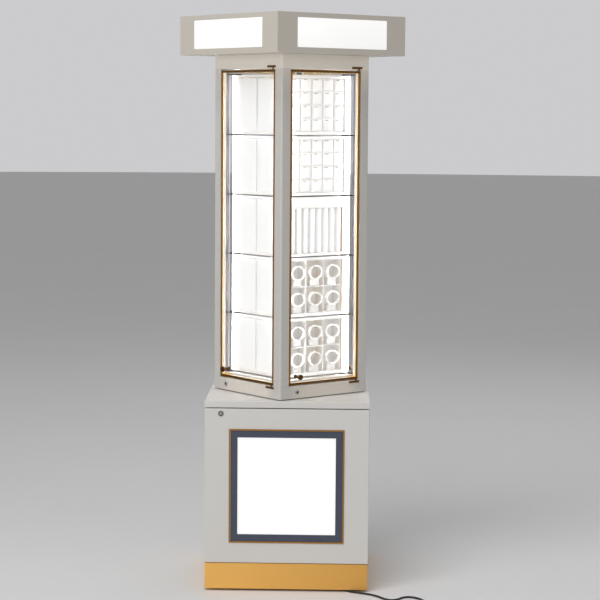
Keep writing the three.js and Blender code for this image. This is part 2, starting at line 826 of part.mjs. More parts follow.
// Free stretch of the cord, from the gland down to the floor, under the plinth and across to the coil
const coilStart = new THREE.Vector2(coilCentre.x - coilOuterRadius, coilCentre.y + 2 * cordRadius + seat);
const glandEnd = glandFoot - seat;
const cordPoints = [
  new THREE.Vector3(glandPlace.x, glandPlace.y, glandEnd),
  new THREE.Vector3(glandPlace.x, glandPlace.y, glandEnd - 2 * cordRadius),
  new THREE.Vector3(150.0, -140.4, 38),
  new THREE.Vector3(151.2, -144.3, 24),
  new THREE.Vector3(155.0, -156.5, 10.5),
  new THREE.Vector3(160.5, -174.5, 4.2),
  new THREE.Vector3(166.5, -195, cordZ),
  new THREE.Vector3(173, -217, cordZ),
  new THREE.Vector3(182, -238, cordZ),
  new THREE.Vector3(198, -253, cordZ),
  new THREE.Vector3(228, -268, cordZ),
  new THREE.Vector3(256, -284, cordZ),
  new THREE.Vector3(277, -303, cordZ),
  new THREE.Vector3(291, -323, cordZ),
  new THREE.Vector3(305, -341, cordZ),
  new THREE.Vector3(323, -348, cordZ),
  new THREE.Vector3(340, -338, cordZ),
  new THREE.Vector3(352, -320, cordZ),
  new THREE.Vector3(369, -309, cordZ),
  new THREE.Vector3(390, -315, cordZ),
  new THREE.Vector3(408, -334, cordZ),
  new THREE.Vector3(420, -362, cordZ),
  new THREE.Vector3(424.6, -394, cordZ),
  new THREE.Vector3(coilStart.x, coilStart.y + 6 * cordRadius, cordZ),
  new THREE.Vector3(coilStart.x, coilStart.y + 2 * cordRadius, cordZ),
  new THREE.Vector3(coilStart.x, coilStart.y, cordZ),
];
const cordPath = new THREE.CatmullRomCurve3(cordPoints, false, 'centripetal');
const cordLength = cordPath.getLength();
place(cabinet, 'power_cord', new THREE.ExtrudeGeometry(cordSection(cordRadius, cordSides), {
  extrudePath: cordPath, steps: Math.round(cordLength / (5 * cordRadius)), bevelEnabled: false,
}), blackPlastic);
console.log(`free cord ${cordLength.toFixed(0)} mm, coil ${coilPath.getLength().toFixed(0)} mm`);

// Plug: tapered neck, rounded body and two flat blades
const [coilEndRadius, coilEndZ] = coilPlace(coilTurns);
const plugHalfHeight = coilEndZ - cordLift;
const plugShape = rectangle(-plugWidth / 2, plugWidth / 2, -plugHalfHeight, plugHalfHeight, plugCorner);
const plugNeck = turned([
  [0, 0],
  [cordRadius + overrun, 0],
  [plugNeckRadius, plugNeckLength],
  [plugNeckRadius, plugNeckLength + overrun],
  [0, plugNeckLength + overrun],
], smallSides).rotateX(Math.PI / 2);
const blades = [-bladeGap / 2, bladeGap / 2].map((x) => block(
  x - bladeThickness / 2, x + bladeThickness / 2,
  -plugNeckLength - plugLength - bladeLength, -plugNeckLength - plugLength + overrun,
  -bladeWidth / 2, bladeWidth / 2,
));
const plug = place(cabinet, 'power_plug', formed(
  facing(plugShape, -plugNeckLength - plugLength, -plugNeckLength, 3),
  [plugNeck, ...blades],
), blackPlastic);
plug.position.set(coilCentre.x - coilEndRadius, coilCentre.y - coilTail - seat, coilEndZ);

// Tower frame. Every face is drawn at -Y and turned by quarter turns
const towerHalf = towerSide / 2;
const openingHalf = towerHalf - postWidth;
const faceY = -towerHalf;
const leafFront = faceY + leafInset;
const leafBack = leafFront + leafDepth;
const leafMiddle = leafFront + leafDepth / 2;
const leafLeft = -openingHalf + leafLockGap;
const leafRight = openingHalf - leafHingeGap;
const leafPivotX = leafRight - leafPivotInset;
const railLockX = leafLeft + railLockInset - leafLockGap;
const railLockZ = leafFoot - railLockDrop;
const tongueFront = leafMiddle - tongueThickness / 2;
const tongueBack = leafMiddle + tongueThickness / 2;
const pocketFront = tongueFront - tongueSlack;
const pocketBack = tongueBack + tongueSlack;
const platePinEnd = hingePlateOverhang + leafPivotX + leafPivotInset;
const plateLeft = platePinEnd - hingePlateLength;
const towerShape = rectangle(-towerHalf, towerHalf, -towerHalf, towerHalf, postCorner);

// Hinge plate let into a rail, with the pin that carries the door's corner.
function hingePlate(plateFoot, pinFoot, pinTop) {
  return [
    block(plateLeft, platePinEnd, faceY - hingePlateProud, leafBack, plateFoot, plateFoot + hingePlateHeight),
    upright(pivotRadius, leafPivotX, leafMiddle, pinFoot, pinTop),
  ];
}

// Notch in front of a pin, from the rail's edge to the hinge plate.
function pinNotch(z0, z1) {
  return block(
    leafPivotX - pinNotchWidth / 2, leafPivotX + pinNotchWidth / 2, faceY - overrun, leafBack, z0, z1,
  );
}

const railBoreRadius = boreFor(railLockBarrelRadius);
const lowerPlateFoot = openingFoot - hingePlateOffset - hingePlateHeight;
const upperPlateFoot = openingTop + hingePlateOffset;
const bottomAdded = [];
const bottomCut = [upright(
  bearingOuterRadius + hubRecessSlack, 0, 0, towerFoot - overrun, hubFlangeTop + seat, roundSides,
)];
const topAdded = [];
const topCut = [];
for (let face = 0; face < 4; face += 1) {
  const turn = (geometry) => geometry.rotateZ(face * Math.PI / 2);
  bottomAdded.push(...hingePlate(
    lowerPlateFoot, lowerPlateFoot + overrun, leafFoot + leafPinEngagement,
  ).map(turn));
  topAdded.push(...hingePlate(
    upperPlateFoot, leafTop - leafPinEngagement, upperPlateFoot + overrun,
  ).map(turn));
  bottomCut.push(turn(pinNotch(lowerPlateFoot + hingePlateHeight, openingFoot + overrun)));
  topCut.push(turn(pinNotch(openingTop - overrun, upperPlateFoot)));
  bottomCut.push(turn(frontal(
    railBoreRadius, railLockX, railLockZ, faceY - overrun, pocketBack,
  )));
  bottomCut.push(turn(block(
    railLockX - railBoreRadius, railLockX + tongueLength + tongueSlack * 2,
    pocketFront, pocketBack, railLockZ - railBoreRadius, openingFoot + overrun,
  )));
}

// The rail is cut first and takes its pins afterwards, so that they stand free in their notches.
function rail(z0, z1, added, cutters) {
  return formed(formed(raised(towerShape, z0, z1), [], cutters), added);
}

place(tower, 'bottom_rail', rail(towerFoot, openingFoot, bottomAdded, bottomCut), paint);
place(tower, 'top_rail', rail(openingTop, towerTop, topAdded, topCut), paint);

// Display floor: a board that stands between the posts and behind the doors
const floorHalf = -leafBack - displayFloorSlack;
const floorNotch = openingHalf - leafLockGap;
const floorShape = new THREE.Shape();
floorShape.moveTo(-floorNotch, -floorHalf);
for (const [x, y] of [
  [1, -2], [1, -1], [2, -1], [2, 1], [1, 1], [1, 2], [-1, 2], [-1, 1], [-2, 1], [-2, -1], [-1, -1],
]) {
  const reach = (share) => Math.sign(share) * (Math.abs(share) === 2 ? floorHalf : floorNotch);
  floorShape.lineTo(reach(x), reach(y));
}
floorShape.closePath();
place(tower, 'display_floor', raised(floorShape, openingFoot + seat, displayFloorTop), floorBeige);

// Corner posts: square outside corner rounded, inner corner chamfered for the light profile
const postFoot = openingFoot + seat;
const postTop = openingTop - seat;
const postShape = new THREE.Shape();
postShape.moveTo(openingHalf, -towerHalf);
postShape.lineTo(towerHalf - postCorner, -towerHalf);
postShape.absarc(towerHalf - postCorner, -towerHalf + postCorner, postCorner, -Math.PI / 2, 0, false);
postShape.lineTo(towerHalf, -openingHalf);
postShape.lineTo(openingHalf + postChamfer, -openingHalf);
postShape.lineTo(openingHalf, -openingHalf - postChamfer);
postShape.closePath();

// Corner rack, drawn with the corner's diagonal along +X and then turned onto the corner
const chamferReach = (2 * openingHalf + postChamfer) / Math.SQRT2;
const profileBack = chamferReach - seat;
const profileFront = profileBack - profileDepth;
const profileFoot = displayFloorTop + seat;
const profileTop = openingTop - profileEndGap;
const blockPitch = (profileTop - profileFoot - armThickness - blockHeadroom) / blockLevels;
const profileHalf = profileWidth / 2;
const profileShape = new THREE.Shape();
profileShape.moveTo(profileBack, -profileHalf);
profileShape.lineTo(profileBack, profileHalf);
profileShape.lineTo(profileFront + profileLip, profileHalf);
profileShape.lineTo(profileFront, profileHalf - profileLip);
profileShape.lineTo(profileFront, -profileHalf + profileLip);
profileShape.lineTo(profileFront + profileLip, -profileHalf);
profileShape.closePath();
const arms = [];
for (let level = 0; level <= blockLevels; level += 1) {
  const foot = profileFoot + level * blockPitch;
  arms.push(block(
    profileBack - armReach, profileFront + profileLip, -armWidth / 2, armWidth / 2, foot, foot + armThickness,
  ));
}
const rackGeometry = formed(raised(profileShape, profileFoot, profileTop), arms);
rackGeometry.rotateZ(-Math.PI / 4);
for (let corner = 0; corner < 4; corner += 1) {
  const group = quarter(tower, corner);
  place(group, `post_${corner + 1}`, raised(postShape, postFoot, postTop), paint);
  place(group, `corner_rack_${corner + 1}`, rackGeometry, blackPlastic);
}

// Display blocks
const blockHalf = openingHalf - blockGap;
const blockHeight = blockPitch - armThickness - 2 * seat;
const recessY = -blockHalf + blockRecess;
const recessFoot = blockBorder;
const recessTop = blockHeight - blockBorder;
const padHalf = blockHalf - padMargin;
const trayHalf = blockHalf - trayMargin;
const cushionHalf = blockHalf - cushionMargin;

// Recess between the borders of a face.
function recess(halfWidth, z0, z1, depth) {
  return block(-halfWidth, halfWidth, -blockHalf - overrun, -blockHalf + depth, z0, z1);
}

// Two upholstered cushions side by side on the block's face, crowned across their width.
function cushionFace() {
  const width = cushionHalf - cushionGap / 2;
  const added = [-1, 1].map((side) => {
    const middle = side * (width / 2 + cushionGap / 2);
    const outline = new THREE.Shape();
    outline.moveTo(middle - width / 2, -blockHalf + overrun);
    outline.lineTo(middle + width / 2, -blockHalf + overrun);
    for (let i = 0; i <= cushionSegments; i += 1) {
      const share = 1 - 2 * i / cushionSegments;
      const rise = cushionEdge + (cushionCrown - cushionEdge) * (1 - share * share);
      outline.lineTo(middle + share * width / 2, -blockHalf - rise);
    }
    outline.closePath();
    return raised(outline, recessFoot, recessTop);
  });
  return { added, cutters: [] };
}

// Grid of small pads with drafted sides.
function padFace() {
  const pitchX = 2 * padHalf / cellColumns;
  const pitchZ = (recessTop - recessFoot) / cellRows;
  const added = [];
  for (let column = 0; column < cellColumns; column += 1) {
    for (let row = 0; row < cellRows; row += 1) {
      const x = -padHalf + (column + 0.5) * pitchX;
      const z = recessFoot + (row + 0.5) * pitchZ;
      const halfX = (pitchX - padGap) / 2;
      const halfZ = (pitchZ - padGap) / 2;
      const pad = block(-halfX, halfX, recessY - padHeight, recessY + overrun, -halfZ, halfZ);
      const corners = pad.attributes.position;
      for (let i = 0; i < corners.count; i += 1) {
        if (corners.getY(i) < recessY) {
          corners.setX(i, corners.getX(i) - Math.sign(corners.getX(i)) * padDraft);
          corners.setZ(i, corners.getZ(i) - Math.sign(corners.getZ(i)) * padDraft);
        }
      }
      added.push(pad.translate(x, 0, z));
    }
  }
  return { added, cutters: [recess(padHalf, recessFoot, recessTop, blockRecess)] };
}

// Upright rolls below a plain band.
function rollFace() {
  const top = blockHeight - rollBand;
  const pitch = 2 * trayHalf / rollCount;
  const radius = (pitch - rollGap) / 2;
  const floorY = -blockHalf + rollRecess;
  const added = [];
  for (let i = 0; i < rollCount; i += 1) {
    added.push(upright(radius, -trayHalf + (i + 0.5) * pitch, floorY, recessFoot, top));
  }
  return { added, cutters: [recess(trayHalf, recessFoot, top, rollRecess)] };
}

// Bays with an oval ring holder standing on its foot in each.
function bayFace() {
  const pitchX = 2 * trayHalf / bayColumns;
  const pitchZ = (recessTop - recessFoot) / bayRows;
  const holderFront = recessY - holderProud;
  const holderBack = holderFront + holderThickness;
  const footFront = recessY + holderFootFront;
  const footBack = footFront + holderThickness;
  const footBite = (holderHalfHeight - holderBoreHalfHeight) / 2;
  const cutters = [recess(trayHalf, recessFoot, recessTop, blockRecess)];
  const added = [];
  for (let column = 0; column < bayColumns; column += 1) {
    for (let row = 0; row < bayRows; row += 1) {
      const x = -trayHalf + (column + 0.5) * pitchX;
      const z = recessFoot + (row + 0.5) * pitchZ;
      const halfX = (pitchX - bayWall) / 2;
      const halfZ = (pitchZ - bayWall) / 2;
      cutters.push(block(
        x - halfX, x + halfX, recessY - overrun, recessY + bayDepth, z - halfZ, z + halfZ,
      ));
      const centreZ = z + holderRise;
      const outline = new THREE.Shape();
      outline.absellipse(x, centreZ, holderHalfWidth, holderHalfHeight, 0, 2 * Math.PI, false);
      const bore = new THREE.Path();
      bore.absellipse(x, centreZ, holderBoreHalfWidth, holderBoreHalfHeight, 0, 2 * Math.PI, true);
      outline.holes.push(bore);
      added.push(facing(outline, holderFront, holderBack, holderSegments));
      added.push(block(
        x - holderFootWidth / 2, x + holderFootWidth / 2, footFront, footBack,
        z - halfZ - bayWall / 2, centreZ - holderHalfHeight + footBite,
      ));
    }
  }
  return { added, cutters };
}

// Display block with a kind of face of its own in front and cushions on the other three sides.
function displayBlock(faceKind) {
  const added = [];
  const cutters = [];
  [faceKind, cushionFace, cushionFace, cushionFace].forEach((kind, face) => {
    const turn = (geometry) => geometry.rotateZ(face * Math.PI / 2);
    const parts = kind();
    added.push(...parts.added.map(turn));
    cutters.push(...parts.cutters.map(turn));
  });
  const core = block(-blockHalf, blockHalf, -blockHalf, blockHalf, 0, blockHeight);
  return formed(formed(core, [], cutters), added);
}

const blockFaces = [bayFace, bayFace, rollFace, padFace, padFace];
const blockForms = new Map([bayFace, rollFace, padFace].map((kind) => [kind, displayBlock(kind)]));
blockFaces.forEach((kind, level) => {
  const mesh = place(tower, `display_block_${level + 1}`, blockForms.get(kind), displayWhite);
  mesh.position.z = profileFoot + level * blockPitch + armThickness + seat;
});

// Tower doors: a grooved frame, the pane in its groove, a knob through the pane, and the lock in the rail
const glassLeft = leafLeft + leafBar - glassGrip;
const glassRight = leafRight - leafBar + glassGrip;
const glassFoot = leafFoot + leafBar - glassGrip;
const glassTop = leafTop - leafBar + glassGrip;
const glassFront = leafMiddle - glassThickness / 2;
const glassBack = leafMiddle + glassThickness / 2;
const knobX = leafLeft + knobInset;
const knobZ = leafFoot + knobRise;

const leafShape = rectangle(leafLeft, leafRight, leafFoot, leafTop);
leafShape.holes.push(rectangle(
  leafLeft + leafBar, leafRight - leafBar, leafFoot + leafBar, leafTop - leafBar, 0, THREE.Path,
));
const leafGeometry = formed(facing(leafShape, leafFront, leafBack), [], [
  block(
    glassLeft - seat, glassRight + seat, glassFront - seat, glassBack + seat,
    glassFoot - seat, glassTop + seat,
  ),
  upright(pinBoreRadius, leafPivotX, leafMiddle, leafTop - leafPinEngagement - running, leafTop + overrun),
  upright(pinBoreRadius, leafPivotX, leafMiddle, leafFoot - overrun, leafFoot + leafPinEngagement + running),
  block(
    railLockX - tongueWidth / 2 - tongueSlack * 2, railLockX - tongueWidth / 2 + tongueSlotWidth,
    pocketFront, pocketBack, leafFoot - overrun, leafFoot + tongueSlotHeight,
  ),
]);
const glassGeometry = formed(
  block(glassLeft, glassRight, glassFront, glassBack, glassFoot, glassTop),
  [],
  [frontal(knobScrewRadius + seat, knobX, knobZ, glassFront - overrun, glassBack + overrun)],
);
const knobFace = glassFront - seat;
const knobGeometry = turned([
  [0, glassBack + seat + knobCapThickness],
  [knobCapRadius, glassBack + seat + knobCapThickness],
  [knobCapRadius, glassBack + seat],
  [knobScrewRadius, glassBack + seat],
  [knobScrewRadius, knobFace],
  [knobStemRadius, knobFace],
  [knobStemRadius, knobFace - knobReach / 2],
  [knobRadius, knobFace - knobReach * 2 / 3],
  [knobRadius, knobFace - knobReach + overrun],
  [knobRadius - overrun, knobFace - knobReach],
  [0, knobFace - knobReach],
].map(([r, y]) => [r, -y]), smallSides).rotateX(Math.PI / 2).translate(knobX, 0, knobZ);
const railLockGeometry = formed(
  frontal(
    railLockFlangeRadius, railLockX, railLockZ, faceY - lockFlangeThickness - seat, faceY - seat,
  ),
  [
    frontal(railLockBarrelRadius, railLockX, railLockZ, faceY - overrun, tongueFront + overrun),
    block(
      railLockX, railLockX + tongueLength, tongueFront, tongueBack,
      railLockZ - tongueWidth / 2, railLockZ + tongueWidth / 2,
    ),
    frontal(tongueWidth / 2, railLockX, railLockZ, tongueFront, tongueBack),
  ],
);
for (let face = 0; face < 4; face += 1) {
  const group = quarter(tower, face);
  place(group, `door_${face + 1}_frame`, leafGeometry, darkGold);
  place(group, `door_${face + 1}_glass`, glassGeometry, glass);
  place(group, `door_${face + 1}_knob`, knobGeometry, brightGold);
  place(group, `rail_lock_${face + 1}`, railLockGeometry, steel);
}

// Header: an open-topped shell with a window in each side, a diffuser behind them and a lid
const headerHalf = headerSide / 2;
const headerInside = headerHalf - headerWall;
const windowCuts = [];
for (let face = 0; face < 4; face += 1) {
  windowCuts.push(block(
    -windowWidth / 2, windowWidth / 2, -headerHalf - overrun, -headerInside + overrun,
    headerFoot + windowFoot, headerFoot + windowFoot + windowHeight,
  ).rotateZ(face * Math.PI / 2));
}
place(tower, 'header_shell', formed(
  block(-headerHalf, headerHalf, -headerHalf, headerHalf, headerFoot, headerTop),
  [],
  [
    block(
      -headerInside, headerInside, -headerInside, headerInside,
      headerFoot + headerFloor, headerTop + overrun,
    ),
    ...windowCuts,
  ],
), paint);
const diffuserHalf = headerInside - seat;
const diffuserShape = rectangle(-diffuserHalf, diffuserHalf, -diffuserHalf, diffuserHalf);
const diffuserInside = diffuserHalf - diffuserThickness;
diffuserShape.holes.push(rectangle(
  -diffuserInside, diffuserInside, -diffuserInside, diffuserInside, 0, THREE.Path,
));
place(tower, 'header_diffuser', raised(
  diffuserShape, headerFoot + headerFloor + seat,
  headerTop - headerLidThickness - seat,
), litWhite);
place(tower, 'header_lid', block(
  -diffuserHalf, diffuserHalf, -diffuserHalf, diffuserHalf, headerTop - headerLidThickness, headerTop,
), paint);

export default cabinet;
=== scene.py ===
"""Dressing for a revolving glass display cabinet: soft blocks, light strips, fittings and finishes."""

import math

import bmesh
import bpy
from mathutils import Matrix, Vector


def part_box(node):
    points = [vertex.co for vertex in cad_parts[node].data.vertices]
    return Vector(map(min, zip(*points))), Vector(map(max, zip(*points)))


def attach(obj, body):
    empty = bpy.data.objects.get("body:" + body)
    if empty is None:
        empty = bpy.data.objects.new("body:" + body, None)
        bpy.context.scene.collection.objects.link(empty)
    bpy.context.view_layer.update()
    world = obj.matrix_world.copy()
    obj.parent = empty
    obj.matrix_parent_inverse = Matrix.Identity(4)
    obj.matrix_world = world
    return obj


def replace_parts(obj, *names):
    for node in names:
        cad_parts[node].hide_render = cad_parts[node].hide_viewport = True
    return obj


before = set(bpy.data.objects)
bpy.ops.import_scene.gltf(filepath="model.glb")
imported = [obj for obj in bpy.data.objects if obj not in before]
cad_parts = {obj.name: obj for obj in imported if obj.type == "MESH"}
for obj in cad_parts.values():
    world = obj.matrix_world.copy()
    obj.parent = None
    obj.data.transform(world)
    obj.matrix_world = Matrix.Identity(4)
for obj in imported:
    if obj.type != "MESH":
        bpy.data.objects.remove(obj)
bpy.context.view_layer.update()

bl_info = {
    "name": "Revolving display cabinet",
    "version": (1, 0, 0),
    "blender": (4, 5, 0),
    "location": "View3D > Sidebar > Cabinet",
    "description": "Dresses the packed cabinet with its soft blocks, lights, fittings and finishes",
    "category": "Object",
}

# Sizes shared with the cabinet's solids, in metres
TURN = math.radians(39.9)
TOWER_HALF = 0.171
LEAF_PIVOT_X = 0.128
LEAF_FRONT = -0.169
LEAF_BACK = -0.157
LEAF_LEFT = -0.136
LEAF_RIGHT = 0.135
LEAF_FOOT = 0.629
LEAF_TOP = 1.5835
LEAF_BAR = 0.007
RAIL_LOCK_X = -0.105
RAIL_LOCK_RADIUS = 0.007
BASE_LOCK_RADIUS = 0.0046
KNOB_X = -0.104
KNOB_FRONT = -0.1653
KNOB_BACK = -0.1607
HINGE_PLATE = 0.041
HINGE_OVERHANG = 0.013
BLOCK_HALF = 0.130
BLOCK_BORDER = 0.0085
BLOCK_RECESS = 0.007
BLOCK_HEIGHT = 0.181
FIELD_HEIGHT = BLOCK_HEIGHT - 2 * BLOCK_BORDER
CUSHION_HALF = 0.104
CUSHION_GAP = 0.003
PAD_HALF = 0.108
TRAY_HALF = 0.1024
BAY_COLUMNS = 3
BAY_ROWS = 2
BAY_WALL = 0.0046
BAY_DEPTH = 0.038
HOLDER_RISE = 0.0025
PAD_COLUMNS = 5
PAD_ROWS = 4
PAD_GAP = 0.003
ROLL_COUNT = 8
ROLL_BAND = 0.034
ROLL_RECESS = 0.013
ROLL_GAP = 0.0015
PROFILE_FRONT = 0.19735
RACK_FOOT = 0.6416
RACK_LEVELS = 5
ARM_THICKNESS = 0.004
BLOCK_PITCH = 0.1856
LEGS_TOP = 0.0861
PANE_LOW = (-0.1731, -0.2478, 1.6481)
PANE_HIGH = (0.1731, -0.2362, 1.7350)
BLOCK_KINDS = ("bays", "bays", "rolls", "pads", "pads")
DOORS = (0, 1, 2, 3)
PLAIN_SIDES = (1, 2, 3)

# Small distances between pieces, and limits for choosing faces and edges by place and direction
HAIR = 0.00005
NEAR = 1e-5
STEEP = 0.9

# Forms of small pieces, in metres: profiles by radius and rise, painted shadow dashes under a block's top
# border from left to right, and the bars of a strip's channel by their depths behind the rack's front and
# their two sides
KNOB_PROFILE = (
    (0, 0.0), (0.0046, 0.0), (0.0050, 0.0006), (0.0044, 0.0020), (0.0042, 0.0085), (0.0050, 0.0125),
    (0.0072, 0.0155), (0.0084, 0.0172), (0.0085, 0.0190), (0.0085, 0.0222), (0.0080, 0.0235),
    (0.0072, 0.0239), (0.0066, 0.0239), (0.0063, 0.0232), (0.0058, 0.0232), (0.0055, 0.0238),
    (0.0030, 0.0240), (0, 0.0240),
)
KNOB_CAP_PROFILE = ((0, 0), (0.0060, 0), (0.0060, 0.0016), (0.0050, 0.0025), (0, 0.0025))
BORDER_SHADOW_DASHES = ((-0.101, -0.076), (-0.050, 0.028), (0.062, 0.089))
THIN_ROUND = 0.0002
ROLL_ROUND = 0.004
STRIP_GAP = 0.0008
CHANNEL_BARS = ((0.0008, HAIR, -0.0058, 0.0058), (0.0034, 0.0001, -0.0058, -0.0048),
                (0.0034, 0.0001, 0.0048, 0.0058))

# Places of the finishes in a display block's list
BLOCK_FINISHES = "cloth lining lining_pale tan"
LINING = 1
PAINTED_LIGHT_LINING = 2
PAINTED_SHADE_WALL = 3

# Grain of the finishes: scale and detail of the noise, and its stretch
PAINT_CLOUD = (3.2, 3.0)
PAINT_SHADE = 0.022
DRAWN_LINES = (700, 2.0, (1.0, 1.0, 0.02))
DRAWN_SHADE = 0.14
CLOTH_NAP = 0.00055

# Length of the cloth simulation, in frames
CLOTH_FRAMES = 20

# Route of the cord's free stretch, as in the solids
GLAND = (0.150, -0.140)
GLAND_END = 0.0557
CORD_Z = 0.0031
CORD_DIAMETER = 0.006
COIL_CENTRE = (0.468, -0.452)
COIL_PITCH = 0.0066
COIL_TURNS = 6
COIL_STEPS = 48
COIL_INWARD = 3
COIL_REVERSE = 0.5
COIL_MIDDLE = 0.033
COIL_OUTER = COIL_MIDDLE + COIL_PITCH * COIL_INWARD / 2
COIL_INNER = COIL_MIDDLE - COIL_PITCH * COIL_INWARD / 2
COIL_TAIL = 0.042
CORD_LEAD = 0.006
CORD_STEP = 0.004
CORD_ROUTE = (
    (*GLAND, GLAND_END), (*GLAND, GLAND_END - CORD_LEAD), (0.150, -0.1404, 0.038),
    (0.1512, -0.1443, 0.024), (0.155, -0.1565, 0.0105), (0.1605, -0.1745, 0.0042),
    *((x, y, CORD_Z) for x, y in (
        (0.1665, -0.195), (0.173, -0.217), (0.182, -0.238), (0.198, -0.253), (0.228, -0.268),
        (0.256, -0.284), (0.277, -0.303), (0.291, -0.323), (0.305, -0.341), (0.323, -0.348),
        (0.340, -0.338), (0.352, -0.320), (0.369, -0.309), (0.390, -0.315), (0.408, -0.334),
        (0.420, -0.362), (0.4246, -0.394), (0.4251, -0.4277), (0.4251, -0.4397), (0.4251, -0.4457))),
)


def an_angle(name, description, degrees):
    """An angle setting."""
    return bpy.props.FloatProperty(name=name, description=description, default=math.radians(degrees),
                                   subtype="ANGLE")


def a_colour(name, description, default):
    """A colour setting."""
    return bpy.props.FloatVectorProperty(name=name, description=description, size=3, subtype="COLOR",
                                         default=default, min=0, max=1)


def a_light(name, description, default, unit="NONE"):
    """The strength of a light or of a glow."""
    return bpy.props.FloatProperty(name=name, description=description, default=default, min=0, unit=unit)


def a_length(name, description, default, least=0.0):
    """A length setting."""
    return bpy.props.FloatProperty(name=name, description=description, default=default, min=least,
                                   unit="LENGTH")


class CabinetView(bpy.types.PropertyGroup):
    """Where the photograph was taken from."""

    place: bpy.props.FloatVectorProperty(
        name="Camera place", description="Camera position in the cabinet's frame", size=3,
        default=(0.1818, -6.0095, 1.4579), subtype="TRANSLATION", unit="LENGTH")
    yaw: an_angle("Yaw", "Turn from the +Y direction towards +X", -1.439)
    pitch: an_angle("Pitch", "Downward tilt", 5.585)
    roll: an_angle("Roll", "Roll about the line of sight", -0.422)
    lens: bpy.props.FloatProperty(
        name="Lens", description="Focal length on a 36 mm sensor, in millimetres", default=115.495, min=10)


class CabinetColours(bpy.types.PropertyGroup):
    """Colours of the cabinet's finishes."""

    paint: a_colour("Paint", "Warm pale grey paint of the boards", (0.715, 0.697, 0.667))
    header_paint: a_colour("Header paint", "Slightly darker warm grey of the header", (0.60, 0.555, 0.488))
    post: a_colour("Posts", "Satin grey of the tower's corner posts", (0.62, 0.60, 0.565))
    cream: a_colour("Rails", "Cream paint of the tower's rails", (0.86, 0.805, 0.725))
    plinth: a_colour("Plinth", "Brushed gold laminate", (1.0, 0.535, 0.125))
    # Door frames: the front's dark gold is partly a painted reflection; the inner sides' gold is painted
    # light
    leaf: a_colour("Door frames", "Dark gold of the door frames' fronts", (0.38, 0.17, 0.025))
    leaf_painted_light: a_colour("Door frames inside", "Bright gold of the frames' inner sides", (1.0, 0.96, 0.84))
    gold: a_colour("Screen trim", "Polished gold of the trim round the screen", (0.45, 0.215, 0.055))
    slate: a_colour("Screen border", "Blue-grey border behind the screen's acrylic", (0.037, 0.050, 0.086))
    cloth: a_colour("Block covering", "White microfibre of the display blocks", (0.89, 0.885, 0.875))
    lining: a_colour("Bay lining", "Warm grey lining of the bays", (0.92, 0.87, 0.81))
    floor_board: a_colour("Display floor", "Beige laminate of the display floor", (0.96, 0.935, 0.885))


class CabinetLights(bpy.types.PropertyGroup):
    """Strength of the cabinet's own lights and of the studio's."""

    strip: a_light("Light strips", "Emission of the corner strips", 90.0)
    header: a_light("Header", "Emission of the header's diffuser and panes", 0.73)
    screen: a_light("Screen", "Emission of the lit panel in the base", 0.75)
    key: a_light("Key light", "Soft light from the left", 60.0, "POWER")
    top: a_light("Top light", "Soft light from above the front", 122.0, "POWER")
    display: a_light("Display light", "Even light on each side of the blocks", 0.46, "POWER")
    fill: a_light("Fill light", "Soft light from the right and from behind", 18.0, "POWER")
    world: a_light("World", "Even light from all round", 0.31)


class CabinetPadding(bpy.types.PropertyGroup):
    """Sizes of the soft pieces on the display blocks."""

    crown: a_length("Cushion crown", "Depth of a large cushion at its middle", 0.0099, 0.004)
    edge: a_length("Cushion edge", "Depth of a large cushion at its rim", 0.0050, 0.001)
    pull: a_length("Drawn-in side", "How far a side pulls in between corners", 0.0012)
    swell: a_length("Swell", "The most that a point of a cushion's cover moves as it is stuffed", 0.0034)
    pad_crown: a_length("Pad crown", "Depth of a small pad at its middle", 0.0060, 0.002)


def scaled(colour, amount):
    """A colour made darker or lighter by an amount."""
    return tuple(min(1, part * amount) for part in colour)


class Value:
    """A shader socket that adds Math nodes when it stands in an expression."""

    def __init__(self, finish, socket):
        self.finish = finish
        self.socket = socket

    def __radd__(self, other):
        return self.finish.math("ADD", other, self)

    def __sub__(self, other):
        return self.finish.math("SUBTRACT", self, other)

    def __rsub__(self, other):
        return self.finish.math("SUBTRACT", other, self)

    def __mul__(self, other):
        return self.finish.math("MULTIPLY", self, other)

    def __gt__(self, other):
        return self.finish.math("GREATER_THAN", self, other)

    def __lt__(self, other):
        return self.finish.math("LESS_THAN", self, other)


class Nodes:
    """A node tree that nodes are added to."""

    def __init__(self, tree):
        self.tree = tree

    def fill(self, socket, value):
        """Links a value to a socket, or sets a constant on it, a colour without its alpha."""
        if isinstance(value, Value):
            self.tree.links.new(value.socket, socket)
        else:
            socket.default_value = (*value, 1) if socket.type == "RGBA" else value

    def add(self, kind, inputs=(), **settings):
        """Adds a node with its settings and inputs, and returns its outputs."""
        node = self.tree.nodes.new("ShaderNode" + kind)
        for name, value in settings.items():
            setattr(node, name, value)
        for name in inputs:
            self.fill(node.inputs[name], inputs[name])
        return [Value(self, output) for output in node.outputs]

    def math(self, operation, first, second=0.0):
        """One Math node."""
        return self.add("Math", {0: first, 1: second}, operation=operation)[0]


